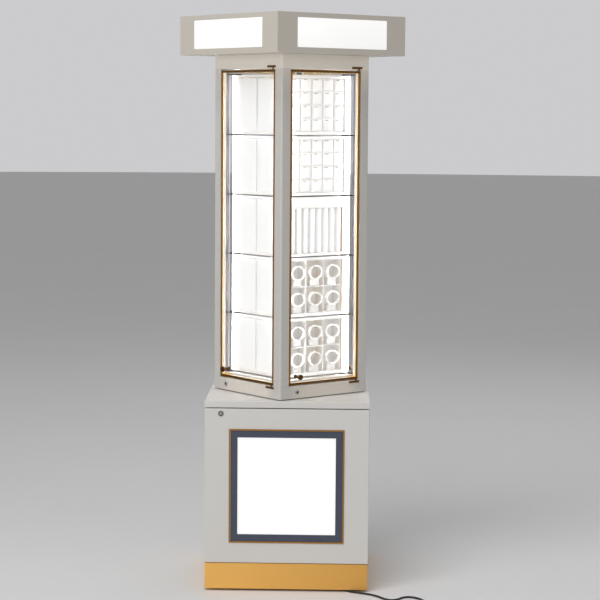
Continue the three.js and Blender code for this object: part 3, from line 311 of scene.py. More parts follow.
class Finish(Nodes):
    """A procedural material built on one Principled BSDF."""

    def __init__(self, name, colour, roughness, metallic=0.0, **constants):
        self.material = bpy.data.materials.new(name)
        self.material.use_nodes = True
        super().__init__(self.material.node_tree)
        self.colour = colour
        self.put("Base Color", colour)
        self.put("Roughness", roughness)
        self.put("Metallic", metallic)
        for word, value in constants.items():
            self.put(word.replace("_", " ").title().replace("Ior", "IOR"), value)

    def put(self, name, value):
        """Sets or links an input of the shader."""
        self.fill(self.tree.nodes["Principled BSDF"].inputs[name], value)
        return self

    def place(self, scale=(1, 1, 1), turn=0.0):
        """Object coordinates, stretched or turned about Z."""
        made = self.add("TexCoord")[3]
        if turn or scale != (1, 1, 1):
            made = self.add("Mapping", {"Vector": made, "Rotation": (0, 0, turn), "Scale": scale})[0]
        return made

    def axes(self, turn=0.0):
        """The three object coordinates as values."""
        return self.add("SeparateXYZ", {0: self.place(turn=turn)})

    def noise(self, scale, detail=2.0, stretch=(1, 1, 1)):
        """Noise between 0 and 1."""
        inputs = {"Vector": self.place(stretch), "Scale": scale, "Detail": detail, "Roughness": 0.5}
        return self.add("TexNoise", inputs)[0]

    def blend(self, factor, first, second, mode="MIX"):
        """Mix of two colours."""
        return self.add("Mix", {0: factor, 6: first, 7: second}, data_type="RGBA", blend_type=mode)[2]

    def shaded(self, amount, factor):
        """The finish's own colour, darker by an amount where the factor is 0 and lighter where it is 1."""
        return self.blend(factor, scaled(self.colour, 1 - amount), scaled(self.colour, 1 + amount))

    def bump(self, height, distance, strength=1.0):
        """Bump from a height between 0 and 1 over a distance in metres."""
        inputs = {"Strength": strength, "Distance": distance, "Height": height}
        return self.put("Normal", self.add("Bump", inputs)[0])


def moved(bm, vector, verts=None):
    bmesh.ops.translate(bm, vec=Vector(vector), verts=verts or bm.verts)


def turned(bm, angle):
    bmesh.ops.rotate(bm, cent=(0, 0, 0), matrix=Matrix.Rotation(angle, 3, "Z"), verts=bm.verts)


def onto_face(bm, face):
    """Turns what was made at the tower's front onto one of its four sides."""
    turned(bm, TURN + face * math.pi / 2)


def rounded(bm, edges, width, segments):
    """Rounds edges over."""
    bmesh.ops.bevel(bm, geom=edges, offset=width, offset_type="OFFSET", segments=segments, profile=0.5,
                    affect="EDGES", material=-1, clamp_overlap=True)


def slab(bm, low, high, radius=0.0, segments=2):
    """Adds a box between two corners with rounded edges."""
    made = bmesh.ops.create_cube(bm, size=1)["verts"]
    bmesh.ops.scale(bm, vec=Vector(high) - Vector(low), verts=made)
    moved(bm, (Vector(low) + Vector(high)) / 2, made)
    if radius:
        rounded(bm, list({e for v in made for e in v.link_edges}), radius, segments)


def joined(bm, part):
    """Adds a finished part to a mesh."""
    mesh = bpy.data.meshes.new("part")
    part.to_mesh(mesh)
    part.free()
    bm.from_mesh(mesh)
    bpy.data.meshes.remove(mesh)


def spun(bm, profile, centre, axis=(0, 0, 1), steps=48, closed=False, stretch=(1, 1, 1)):
    """Adds a turned form: its profile turns about Z, which is then laid onto axis, stretched and placed."""
    part = bmesh.new()
    verts = [part.verts.new((r, 0, z)) for r, z in profile]
    pairs = list(zip(verts, verts[1:]))
    if closed:
        pairs.append((verts[-1], verts[0]))
    edges = [part.edges.new(pair) for pair in pairs]
    bmesh.ops.spin(part, geom=verts + edges, cent=(0, 0, 0), axis=(0, 0, 1), dvec=(0, 0, 0),
                   angle=2 * math.pi, steps=steps, use_merge=True, use_duplicate=False)
    bmesh.ops.remove_doubles(part, verts=part.verts, dist=1e-6)
    turn = Vector((0, 0, 1)).rotation_difference(Vector(axis)).to_matrix()
    bmesh.ops.rotate(part, cent=(0, 0, 0), matrix=turn, verts=part.verts)
    bmesh.ops.scale(part, vec=stretch, verts=part.verts)
    moved(part, centre)
    joined(bm, part)


def placed(name, data):
    """Makes an object and links it to the scene."""
    obj = bpy.data.objects.new(name, data)
    bpy.context.scene.collection.objects.link(obj)
    return obj


def piece(name, bm, finishes, body, face=None):
    """Makes the object, turned onto a side of the tower if one is given, and hangs it on a body."""
    if face is not None:
        onto_face(bm, face)
    bmesh.ops.recalc_face_normals(bm, faces=bm.faces)
    mesh = bpy.data.meshes.new(name)
    bm.to_mesh(mesh)
    bm.free()
    obj = placed(name, mesh)
    for finish in finishes.split():
        mesh.materials.append(material_of(finish))
    mesh.shade_smooth()
    mesh.set_sharp_from_angle(angle=math.radians(38))
    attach(obj, body)
    return obj


def soft_piece(name, bm, face, finishes="cloth"):
    """A piece of a display block."""
    return piece(name, bm, finishes, "tower", face)


def softened(obj):
    """Adds a subdivision surface to a soft piece."""
    modifier = obj.modifiers.new("Soft", "SUBSURF")
    modifier.levels = 1
    modifier.render_levels = 1
    return obj


# Finishes

def grained_finish(name, colour, metallic, grain, shade, rough, bump=None, **constants):
    """A finish whose colour and roughness follow one noise: grain is its scale, detail and stretch."""
    made = Finish(name, colour, rough[0], metallic, **constants)
    noise = made.noise(*grain)
    made.put("Base Color", made.shaded(shade, noise))
    made.put("Roughness", rough[0] + noise * rough[1])
    if bump:
        made.bump(noise, *bump)
    return made


def paint_finish(name, colour):
    """Satin paint on board, with a trace of roller texture and handling."""
    made = grained_finish(name, colour, 0.0, PAINT_CLOUD, PAINT_SHADE, (0.38, 0.08),
                          specular_ior_level=0.45, coat_weight=0.12)
    return made.bump(made.noise(900, 2.0), 0.00012, 0.35)


def repainted(made, amount, colour):
    """Blends a paint towards another colour where an amount goes from 0 to 1."""
    paint = made.shaded(PAINT_SHADE, made.noise(*PAINT_CLOUD))
    return made.put("Base Color", made.blend(amount, paint, colour))


def post_finish(colours):
    """The posts' paint, which turns to the cream of the rails just under the top one as painted light."""
    made = paint_finish("satin_post", colours.post)
    # Painted light: the top of each post lightens to cream under the header
    return repainted(made, (made.axes()[2] - 1.505) * 12.0, colours.cream)


def low_rail_finish(colours):
    """The bottom rail's cream, made darker as painted shade, which turns to the posts' paint at the corners.
    """
    made = paint_finish("satin_cream", scaled(colours.cream, 0.92))
    near = made.math("MINIMUM", *(made.math("ABSOLUTE", axis) for axis in made.axes(-TURN)[:2]))
    return repainted(made, (near - 0.095) * 22.0, colours.post)


def legged_finish(colours):
    """The bottom board's paint, with black levelling legs below it."""
    made = paint_finish("board_with_legs", colours.paint)
    return repainted(made, made.axes()[2] < LEGS_TOP, (0.02, 0.02, 0.022))


def plinth_finish(colours):
    """Gold laminate, brushed along its length, with painted shade that darkens it towards its right end."""
    made = Finish("brushed_gold_laminate", colours.plinth, 0.5, 0.35, specular_ior_level=0.5,
                  coat_weight=0.25, coat_roughness=0.3)
    brush = made.noise(260, 3.0, (0.04, 0.04, 3.0))
    cloud = made.noise(4.5, 2.0)
    streaks = made.blend(0.45, made.shaded(0.09, brush), made.shaded(0.10, cloud))
    # Painted shade: a darker copy that the right end blends to, as if the light came from the left
    right_end_painted_shade = made.blend(1.0, streaks, (0.80, 0.75, 0.66), "MULTIPLY")
    along = made.add("MapRange", {0: made.axes()[0], 1: -0.30, 2: 0.30}, interpolation_type="SMOOTHSTEP")[0]
    made.put("Base Color", made.blend(along, streaks, right_end_painted_shade))
    made.put("Roughness", 0.44 + brush * 0.12)
    return made.bump(brush, 0.00008, 0.4)


def dark_gold_finish(name, colour):
    """Dark gold anodised metal with fine drawing lines along it."""
    return grained_finish(name, colour, 0.95, DRAWN_LINES, DRAWN_SHADE, (0.20, 0.12), (0.00005, 0.3),
                          specular_ior_level=0.5)


def leaf_finish(colours, face):
    """A door frame: dark gold that is partly a painted reflection, and painted light on the flanks that look
    into its opening: a lit gold and a glow, though the frame is no lamp.
    """
    # The front's dark gold is partly a painted reflection of dark surroundings
    made = dark_gold_finish(f"door_frame_gold_{face + 1}", colours.leaf)
    u, depth, height = made.axes(-TURN - face * math.pi / 2)
    lines = made.noise(*DRAWN_LINES)
    opening = (u > LEAF_LEFT + 0.001) * (u < LEAF_RIGHT - 0.001)
    opening = opening * (height > LEAF_FOOT + 0.001) * (height < LEAF_TOP - 0.001)
    back = depth > LEAF_BACK - 0.0003
    inside = opening * (depth > LEAF_FRONT + 0.0006) * (depth < LEAF_BACK - 0.0003)

    # Painted light: amber next to the front bar, and a painted reflection of gold at the lower bar's end
    # near the tower's outer corner
    edge = (LEAF_FRONT + 0.0046 - depth) * 230.0
    low = height < LEAF_FOOT + LEAF_BAR + 0.001
    corner = low * ((LEAF_LEFT + 0.055 - u) if face == 3 else (u - (LEAF_RIGHT - 0.040))) * 45.0
    painted_lit_gold = made.blend(lines, *(scaled(colours.leaf_painted_light, k) for k in (0.94, 1.0)))
    painted_lit_gold = made.blend(made.math("MAXIMUM", edge * 0.8, corner), painted_lit_gold, (0.95, 0.58, 0.12))
    # Painted glow on the inner flanks, amber next to the front bar and whiter along the lower bar
    glow = made.blend(edge, (0.40, 0.388, 0.344), (0.40, 0.25, 0.06))
    glow = made.blend(low, glow, (1.0, 0.95, 0.84))
    glow = made.blend(corner, glow, (1.0, 0.52, 0.05))

    # The bars across are darker as painted shade, and the frame's back is pale
    across = made.math("MAXIMUM", height > LEAF_TOP - LEAF_BAR, height < LEAF_FOOT + LEAF_BAR)
    deep = scaled(colours.leaf, 0.38)
    front = made.blend(across * 0.85, made.shaded(DRAWN_SHADE, lines), deep)
    front = made.blend(back, front, (0.90, 0.70, 0.40))
    made.put("Base Color", made.blend(inside, front, painted_lit_gold))
    made.put("Metallic", 0.95 - inside * 0.75 - back * 0.35)
    # The inner flanks glow though the frame is no lamp: painted light
    made.put("Emission Color", made.blend(inside, (0, 0, 0), glow))
    return made.put("Emission Strength", 0.4)


def moulded_finish(name, colour, roughness):
    """Finely sparked moulded plastic."""
    made = Finish(name, colour, roughness, specular_ior_level=0.4)
    spark = made.noise(1400, 2.0)
    made.put("Base Color", made.shaded(0.12, made.noise(30, 2.0)))
    made.put("Roughness", (roughness - 0.06) + spark * 0.12)
    return made.bump(spark, 0.00008, 0.5)


def rack_finish():
    """Corner racks: a grey anodised light profile with black bracket arms."""
    made = Finish("rack_profile_and_arms", (0.178, 0.168, 0.212), 0.34, 0.4)
    lines = made.noise(600, 2.0, (1.0, 1.0, 0.03))
    along = made.math("FLOORED_MODULO", made.axes()[2] - (RACK_FOOT - 0.0004), BLOCK_PITCH)
    black = made.blend(lines, (0.010, 0.010, 0.012), (0.020, 0.020, 0.023))
    made.put("Base Color", made.blend(along < ARM_THICKNESS + 0.0008, made.shaded(0.16, lines), black))
    return made.put("Roughness", 0.28 + lines * 0.14)


def slate_finish(colours):
    """Blue-grey border behind glossy acrylic."""
    return grained_finish("slate_border", colours.slate, 0.0, (14, 3.0), 0.12, (0.10, 0.05),
                          coat_weight=0.7, coat_roughness=0.05)


def lit_finish(name, strength, tint):
    """Opal diffuser that glows evenly, with a faint fall-off in patches."""
    made = Finish(name, (0.38, 0.38, 0.377), 0.35)
    made.put("Emission Color", made.blend(made.noise(6, 1.0), scaled(tint, 0.97), tint))
    return made.put("Emission Strength", strength)


def cloth_finish(name, colour):
    """Close microfibre: short nap, cloudy shading and a soft sheen."""
    made = Finish(name, colour, 0.82, specular_ior_level=0.25, sheen_weight=0.12, sheen_roughness=0.4)
    nap = made.noise(1 / CLOTH_NAP, 2.0)
    cloud = made.noise(22, 3.0)
    made.put("Base Color", made.blend(0.5, made.shaded(0.03, nap), made.shaded(0.03, cloud)))
    made.put("Roughness", 0.76 + nap * 0.12)
    return made.bump(nap, 0.0002, 0.35)


def beige_finish(colours):
    """Beige laminate with a soft gloss."""
    made = Finish("beige_laminate", colours.floor_board, 0.3, coat_weight=0.3, coat_roughness=0.15)
    made.put("Base Color", made.shaded(0.04, made.noise(9, 3.0)))
    return made.put("Roughness", 0.26 + made.noise(240, 2.0) * 0.1)


def glass_finish():
    """Clear toughened pane, seen mostly by its reflections."""
    made = Finish("clear_glass", (0.22, 0.24, 0.25), 0.03, specular_ior_level=0.5, ior=1.5)
    facing = made.add("LayerWeight", {"Blend": 0.25})[1]
    made.put("Alpha", 0.06 + facing * 0.3)
    return made.put("Roughness", 0.015 + made.noise(7, 3.0) * 0.03)


def keyway_finish():
    """Dark inside of a lock's keyway."""
    made = Finish("keyway_black", (0.012, 0.012, 0.013), 0.5, 0.3)
    return made.put("Roughness", 0.4 + made.noise(800, 1.0) * 0.2)


def finish_table(colours, lights):
    """The function that makes each finish of this cabinet, with what it is given."""
    return {
        "paint": (paint_finish, "satin_paint", colours.paint),
        "header_paint": (paint_finish, "satin_header", colours.header_paint),
        "post": (post_finish, colours),
        "cream": (low_rail_finish, colours),
        # The top rail's cream made lighter, as painted light
        "cream_top": (paint_finish, "satin_cream_top", scaled(colours.cream, 1.15)),
        "legged": (legged_finish, colours),
        "plinth": (plinth_finish, colours),
        "hinge_gold": (dark_gold_finish, "hinge_gold_anodised", scaled(colours.leaf, 0.42)),
        **{f"leaf_{face + 1}": (leaf_finish, colours, face) for face in DOORS},
        "gold": (grained_finish, "polished_gold", colours.gold, 1.0, (320, 3.0), 0.06, (0.12, 0.10)),
        "knob": (grained_finish, "antique_gold", (0.10, 0.048, 0.012), 1.0, (420, 3.0), 0.35, (0.16, 0.16)),
        "steel": (grained_finish, "turned_steel", (0.60, 0.61, 0.62), 0.95,
                  (900, 2.0, (0.05, 0.05, 1.0)), 0.07, (0.22, 0.16), (0.00004, 0.4)),
        "dark_chrome": (grained_finish, "dark_chrome", (0.11, 0.107, 0.107), 1.0, (500, 2.0), 0.2,
                        (0.10, 0.10)),
        "black": (moulded_finish, "black_moulding", (0.02, 0.02, 0.022), 0.5),
        "rubber": (moulded_finish, "cord_sheath", (0.016, 0.016, 0.017), 0.55),
        "rack": (rack_finish,),
        "slate": (slate_finish, colours),
        "header_light": (lit_finish, "header_diffuser_light", lights.header, (1.0, 0.995, 0.98)),
        "screen_light": (lit_finish, "screen_light", lights.screen, (1.0, 1.0, 1.0)),
        "strip_light": (lit_finish, "strip_light", lights.strip, (1.0, 0.96, 0.90)),
        "cloth": (cloth_finish, "white_microfibre", colours.cloth),
        "lining": (cloth_finish, "bay_lining", colours.lining),
        # A paler copy of the bay lining, as painted light on the outer bays
        "lining_pale": (cloth_finish, "bay_lining_pale", tuple(0.4 * c + 0.58 for c in colours.lining)),
        # Brownish cloth for painted shade: the recesses' right walls and the cushions' shaded creases
        "tan": (cloth_finish, "tan_edge", (0.66, 0.50, 0.37)),
        # Dark marks of painted shade: the pads' slots and the dashes under the blocks' top borders
        "slit": (cloth_finish, "slit_shadow", (0.20, 0.17, 0.145)),
        "beige": (beige_finish, colours),
        "glass": (glass_finish,),
        "keyway": (keyway_finish,),
    }


MADE = {}


def material_of(name):
    """The material of the named finish, made when it is first asked for."""
    if name not in MADE:
        scene = bpy.context.scene
        make, *given = finish_table(scene.cabinet_colours, scene.cabinet_lights)[name]
        MADE[name] = make(*given).material
    return MADE[name]


class CABINET_OT_camera(bpy.types.Operator):
    """Place the camera where the photograph was taken from"""

    bl_idname = "cabinet.camera"
    bl_label = "Camera"

    def execute(self, context):
        view = context.scene.cabinet_view
        level = math.cos(view.pitch)
        forward = Vector((math.sin(view.yaw) * level, math.cos(view.yaw) * level, -math.sin(view.pitch)))
        right = Vector((math.cos(view.yaw), -math.sin(view.yaw), 0))
        down = forward.cross(right)
        across = math.cos(view.roll) * right + math.sin(view.roll) * down
        below = math.cos(view.roll) * down - math.sin(view.roll) * right
        camera = placed("camera", bpy.data.cameras.new("camera"))
        basis = Matrix((across, -below, -forward)).transposed().to_4x4()
        camera.matrix_world = Matrix.Translation(view.place) @ basis
        camera.data.sensor_width = 36
        camera.data.lens = view.lens
        camera.data.clip_start = 0.05
        camera.data.clip_end = 200
        context.scene.camera = camera
        return {"FINISHED"}


def smooth_route(points):
    """Centripetal curve through the cord's points, as evenly spaced points."""
    points = [Vector(p) for p in points]
    first = points[0] * 2 - points[1]
    last = points[-1] * 2 - points[-2]
    chain = [first, *points, last]
    route = [points[0]]
    for a, b, c, d in zip(chain, chain[1:], chain[2:], chain[3:]):
        t1 = (b - a).length ** 0.5
        t2 = t1 + (c - b).length ** 0.5
        t3 = t2 + (d - c).length ** 0.5
        count = max(1, round((c - b).length / CORD_STEP))
        for i in range(1, count + 1):
            t = t1 + (t2 - t1) * i / count
            ab = a.lerp(b, t / t1)
            bc = b.lerp(c, (t - t1) / (t2 - t1))
            cd = c.lerp(d, (t - t2) / (t3 - t2))
            route.append(ab.lerp(bc, t / t2).lerp(bc.lerp(cd, (t - t1) / (t3 - t1)), (t - t1) / (t2 - t1)))
    return route


def coil_route():
    """Points of the coil: it spirals in, climbs a layer where it turns back, and spirals out."""
    centre = Vector((*COIL_CENTRE, 0))
    route = [centre + Vector((-COIL_OUTER, CORD_LEAD, CORD_Z))]
    steps = COIL_STEPS * COIL_TURNS
    for i in range(steps + 1):
        turns = COIL_TURNS * i / steps
        if turns <= COIL_INWARD:
            radius = COIL_OUTER - COIL_PITCH * turns
            height = CORD_Z
        elif turns < COIL_INWARD + COIL_REVERSE:
            share = (turns - COIL_INWARD) / COIL_REVERSE
            radius = COIL_INNER - COIL_PITCH * COIL_REVERSE / 2 * (1 - abs(2 * share - 1))
            height = CORD_Z + share * share * (3 - 2 * share) * COIL_PITCH
        else:
            radius = COIL_INNER + COIL_PITCH * (turns - COIL_INWARD - COIL_REVERSE)
            height = CORD_Z + COIL_PITCH
        angle = math.pi + 2 * math.pi * turns
        route.append(centre + Vector((radius * math.cos(angle), radius * math.sin(angle), height)))
    route.append(centre + Vector((-radius, -COIL_TAIL / 2, height)))
    route.append(centre + Vector((-radius, -COIL_TAIL, height)))
    return route


class CABINET_OT_cord(bpy.types.Operator):
    """Lay the power cord from its gland across the floor to its coil and plug"""

    bl_idname = "cabinet.cord"
    bl_label = "Power cord"

    def tie(self):
        """The band that holds the coil together."""
        bm = bmesh.new()
        slab(bm, (COIL_INNER - 0.0062, -0.004, 0.0002), (COIL_OUTER + 0.0042, 0.004, 0.0136), 0.0022, 3)
        hollow = [f for f in bm.faces if abs(f.normal.y) > STEEP]
        bmesh.ops.inset_region(bm, faces=hollow, thickness=0.0007, depth=-0.0002)
        moved(bm, (*COIL_CENTRE, 0))
        return piece("cord_tie", bm, "black", "base")

    def execute(self, context):
        route = smooth_route(CORD_ROUTE) + coil_route()
        curve = bpy.data.curves.new("power_cord_line", "CURVE")
        curve.dimensions = "3D"
        curve.bevel_depth = CORD_DIAMETER / 2
        curve.bevel_resolution = 4
        curve.use_fill_caps = True
        spline = curve.splines.new("POLY")
        spline.points.add(len(route) - 1)
        for point, place in zip(spline.points, route):
            point.co = (*place, 1)
        curve.materials.append(material_of("rubber"))
        cord = placed("power_cord_line", curve)
        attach(cord, "base")
        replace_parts(cord, "power_cord", "cord_coil")
        length = sum((b - a).length for a, b in zip(route, route[1:]))
        self.tie()
        return {"FINISHED"}


def area_light(name, shape, size, power):
    """A soft studio light."""
    lamp = bpy.data.lights.new(name, "AREA")
    lamp.shape = shape
    lamp.size = size
    lamp.energy = power
    return placed(name, lamp)


class CABINET_OT_stage(bpy.types.Operator):
    """Set the floor, the soft studio lights and the pale background"""

    bl_idname = "cabinet.stage"
    bl_label = "Stage"

    def floor(self):
        """A pale studio floor that is no part of the cabinet."""
        ground = bmesh.new()
        bmesh.ops.create_circle(ground, cap_ends=True, segments=96, radius=40)
        floor = placed("studio_floor", bpy.data.meshes.new("studio_floor"))
        ground.to_mesh(floor.data)
        ground.free()
        cover = Finish("studio_floor", (0.80, 0.80, 0.805), 0.55, specular_ior_level=0.3)
        cover.put("Base Color", cover.shaded(0.02, cover.noise(1.5, 2.0)))
        floor.data.materials.append(cover.material)

    def lamps(self, lights):
        """Four studio lights, and four in the tower that the camera and reflections don't see."""
        for name, place, aim, size, power in (
            ("key_light", (-4.2, -4.6, 2.0), (0, 0, 1.0), 2.6, lights.key),
            ("top_light", (-1.2, -2.6, 5.2), (0, 0, 0.6), 3.0, lights.top),
            ("fill_light", (3.6, -3.4, 2.2), (0, 0, 0.9), 2.6, lights.fill),
            ("back_light", (1.5, 4.0, 3.6), (0, 0, 1.0), 2.6, lights.fill),
        ):
            lamp = area_light(name, "DISK", size, power)
            lamp.location = place
            lamp.rotation_euler = (Vector(aim) - Vector(place)).to_track_quat("-Z", "Y").to_euler()
        for face in DOORS:
            lamp = area_light(f"display_light_{face + 1}", "RECTANGLE", 0.25, lights.display)
            lamp.data.size_y = 0.93
            turn = Matrix.Rotation(TURN + face * math.pi / 2, 4, "Z")
            place = Matrix.Translation((0, -0.1555, 1.107))
            lamp.matrix_world = turn @ place @ Matrix.Rotation(math.pi / 2, 4, "X")
            lamp.visible_camera = False
            lamp.visible_glossy = False

    def world(self, strength):
        """A warm even light, with a grey background where the world is seen."""
        world = bpy.data.worlds.new("pale_studio")
        world.use_nodes = True
        world.node_tree.nodes.clear()
        made = Nodes(world.node_tree)
        rays = {value.socket.name: value for value in made.add("LightPath")}
        seen = made.math("MAXIMUM", rays["Is Camera Ray"], rays["Is Glossy Ray"])
        seen = made.math("MAXIMUM", seen, rays["Is Transmission Ray"])
        light = made.add("Background", {0: (1.0, 0.99, 0.975), 1: strength})[0]
        backdrop = made.add("Background", {0: (0.60, 0.60, 0.615), 1: 1})[0]
        made.add("OutputWorld", {0: made.add("MixShader", {0: seen, 1: light, 2: backdrop})[0]})
        bpy.context.scene.world = world

    def execute(self, context):
        lights = context.scene.cabinet_lights
        self.floor()
        self.lamps(lights)
        self.world(lights.world)
        context.scene.view_settings.view_transform = "Standard"
        return {"FINISHED"}


class CABINET_OT_finishes(bpy.types.Operator):
    """Give every rigid part of the cabinet its finish"""

    bl_idname = "cabinet.finishes"
    bl_label = "Finishes"

    table = {
        "paint": "side_left side_right back_panel top_slab base_door",
        "header_paint": "header_shell header_lid",
        "post": "post_1 post_2 post_3 post_4",
        "cream": "bottom_rail",
        # The top rail takes the lighter cream, a painted light
        "cream_top": "top_rail",
        "legged": "bottom_board",
        "plinth": "plinth",
        **{f"leaf_{i + 1}": f"door_{i + 1}_frame" for i in DOORS},
        "gold": "screen_trim",
        "steel": "bearing_ring gearmotor motor_bracket power_supply light_box base_lock_cam drive_pinion "
                 "turntable_hub ring_gear",
        "dark_chrome": "base_lock_barrel rail_lock_1 rail_lock_2 rail_lock_3 rail_lock_4",
        "black": "cord_gland power_plug slip_ring",
        "rack": "corner_rack_1 corner_rack_2 corner_rack_3 corner_rack_4",
        "slate": "screen_border",
        "screen_light": "light_panel",
        "header_light": "header_diffuser",
        "beige": "display_floor",
        "glass": "door_1_glass door_2_glass door_3_glass door_4_glass",
    }

    def execute(self, context):
        for name, nodes in self.table.items():
            for node in nodes.split():
                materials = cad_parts[node].data.materials
                materials.clear()
                materials.append(material_of(name))
        return {"FINISHED"}


def sunk(bm, face, depth):
    """Sinks a face straight in by a depth and returns the new face."""
    normal = face.normal.copy()
    inner = bmesh.ops.extrude_discrete_faces(bm, faces=[face])["faces"][0]
    moved(bm, -normal * depth, list(inner.verts))
    bm.normal_update()
    return inner


def bordered(bm, face, low, high):
    """Insets a front face and fits the inner face between two corners in x and z."""
    bmesh.ops.inset_individual(bm, faces=[face], thickness=0.01, depth=0)
    for vert in face.verts:
        vert.co.x = high[0] if vert.co.x > 0 else low[0]
        vert.co.z = high[1] if vert.co.z > BLOCK_HEIGHT / 2 else low[1]


def level_faces(bm, level):
    """The faces that look along Y at a depth."""
    return [f for f in bm.faces if abs(f.calc_center_median().y - level) < NEAR and abs(f.normal.y) > STEEP]


def divided(bm, level, half, top):
    """Divides a block's recess into bays and lines them, paler in the outer columns as painted light."""
    for axis, count, low, high in ((0, BAY_COLUMNS, -half, half), (2, BAY_ROWS, BLOCK_BORDER, top)):
        for i in range(1, count):
            geom = list({g for f in level_faces(bm, level) for g in (f, *f.edges, *f.verts)})
            place = Vector()
            place[axis] = low + (high - low) * i / count
            normal = Vector()
            normal[axis] = 1
            bmesh.ops.bisect_plane(bm, geom=geom, dist=1e-6, plane_co=place, plane_no=normal)
            bm.normal_update()
    cells = level_faces(bm, level)
    bmesh.ops.inset_individual(bm, faces=cells, thickness=BAY_WALL / 2, depth=0)
    bm.normal_update()
    for cell in cells:
        sunk(bm, cell, BAY_DEPTH)
    for face in bm.faces:
        middle = face.calc_center_median()
        deep = level + 0.001 < middle.y < level + BAY_DEPTH + 0.001
        if deep and abs(middle.x) < half and BLOCK_BORDER < middle.z < top:
            # Painted light: the outer columns' lining is paler, as if lit by the corner strips
            face.material_index = LINING if abs(middle.x) < half / BAY_COLUMNS + 1e-4 else PAINTED_LIGHT_LINING


def block_shell(kind):
    """A covered block whose front is recessed for what is mounted there."""
    bm = bmesh.new()
    slab(bm, (-BLOCK_HALF, -BLOCK_HALF, 0), (BLOCK_HALF, BLOCK_HALF, BLOCK_HEIGHT))
    front = min(bm.faces, key=lambda f: f.normal.y * f.calc_area())
    half = PAD_HALF if kind == "pads" else TRAY_HALF
    top = BLOCK_HEIGHT - (ROLL_BAND if kind == "rolls" else BLOCK_BORDER)
    bordered(bm, front, (-half, BLOCK_BORDER), (half, top))
    floor = sunk(bm, front, ROLL_RECESS if kind == "rolls" else BLOCK_RECESS)
    if kind == "bays":
        divided(bm, floor.calc_center_median().y, half, top)
    if kind == "rolls":
        floor.material_index = LINING
    # Painted shade: the wall on the recess's right side gets a brownish cloth, where shade falls in it
    if kind != "pads":
        for face in bm.faces:
            middle = face.calc_center_median()
            if abs(middle.x - half) < 1e-4 and abs(face.normal.x) > STEEP and middle.y > -BLOCK_HALF:
                face.material_index = PAINTED_SHADE_WALL
    edges = [e for e in bm.edges if len(e.link_faces) == 2 and e.calc_face_angle(0) > 0.5]
    rounded(bm, edges, 0.0011, 2)
    return bm


def cover(width, height, depth, cuts):
    """A flat stuffed cover with its back on y = 0, divided into a grid."""
    bm = bmesh.new()
    bmesh.ops.create_cube(bm, size=1)
    bmesh.ops.scale(bm, vec=(width, depth, height), verts=bm.verts)
    moved(bm, (0, -depth / 2, 0))
    for axis, count in enumerate(cuts):
        edges = [e for e in bm.edges if abs((e.verts[0].co - e.verts[1].co).normalized()[axis]) > STEEP]
        bmesh.ops.subdivide_edges(bm, edges=edges, cuts=count, use_grid_fill=True)
    return bm


def puffed(mesh, pressure, swell):
    """Blows a cushion's cover up as cloth, its back held flat, and caps how far a point moves."""
    scene = bpy.context.scene
    start = [vert.co.copy() for vert in mesh.vertices]
    trial = placed("stuffing", mesh)
    held = trial.vertex_groups.new(name="back")
    held.add([vert.index for vert in mesh.vertices if vert.co.y > -0.0002], 1.0, "REPLACE")
    cloth = trial.modifiers.new("Cloth", "CLOTH")
    settings = cloth.settings
    settings.use_pressure = True
    settings.uniform_pressure_force = pressure
    settings.effector_weights.gravity = 0
    settings.vertex_group_mass = "back"
    settings.quality = 6
    cloth.point_cache.frame_start = 1
    cloth.point_cache.frame_end = CLOTH_FRAMES
    for step in range(1, CLOTH_FRAMES + 1):
        scene.frame_set(step)
    shape = trial.evaluated_get(bpy.context.evaluated_depsgraph_get()).to_mesh()
    ends = [vert.co.copy() for vert in shape.vertices]
    bpy.data.objects.remove(trial)
    scene.frame_set(1)
    for vert, old, end in zip(mesh.vertices, start, ends):
        move = (end - old) * Vector((0.25, 1, 0.25))
        if move.length > swell:
            move *= swell / move.length
        vert.co = old + move


def cushion_form(name, width, height, edge, crown, pull, cuts, pressure, swell):
    """The mesh of a crowned cushion that stands on y = 0, with its sides drawn in between its corners."""
    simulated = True
    if simulated:
        crown -= swell
    bm = cover(width, height, edge, cuts)
    for vert in bm.verts:
        u = vert.co.x / (width / 2)
        v = vert.co.z / (height / 2)
        fullness = max(0.0, 1 - abs(u) ** 4) ** 0.6 * max(0.0, 1 - abs(v) ** 6) ** 0.6
        vert.co.y *= 1 + (crown / edge - 1) * fullness
        vert.co.x -= u * pull * (1 - v * v)
        vert.co.z -= v * pull * (1 - u * u)
    mesh = bpy.data.meshes.new(name)
    bm.to_mesh(mesh)
    bm.free()
    if simulated:
        puffed(mesh, pressure, swell)
    return mesh


def laid(bm, form, place):
    """Adds a copy of a cushion's mesh at a place."""
    part = bmesh.new()
    part.from_mesh(form)
    moved(part, place)
    joined(bm, part)


def arc(centre_r, centre_z, radius, start, steps):
    """A quarter circle in a profile, from a start angle in degrees."""
    angles = [math.radians(start + 90 * i / steps) for i in range(steps + 1)]
    return [(centre_r + radius * math.cos(a), centre_z + radius * math.sin(a)) for a in angles]


def roll(bm, x, z0, z1, y, radius):
    """Adds an upright padded roll with rounded ends."""
    centre_r = radius - ROLL_ROUND
    lower = arc(centre_r, z0 + ROLL_ROUND, ROLL_ROUND, -90, 6)
    upper = arc(centre_r, z1 - ROLL_ROUND, ROLL_ROUND, 0, 6)
    spun(bm, [(0, z0), *lower, *upper, (0, z1)], (x, y, 0), steps=32)


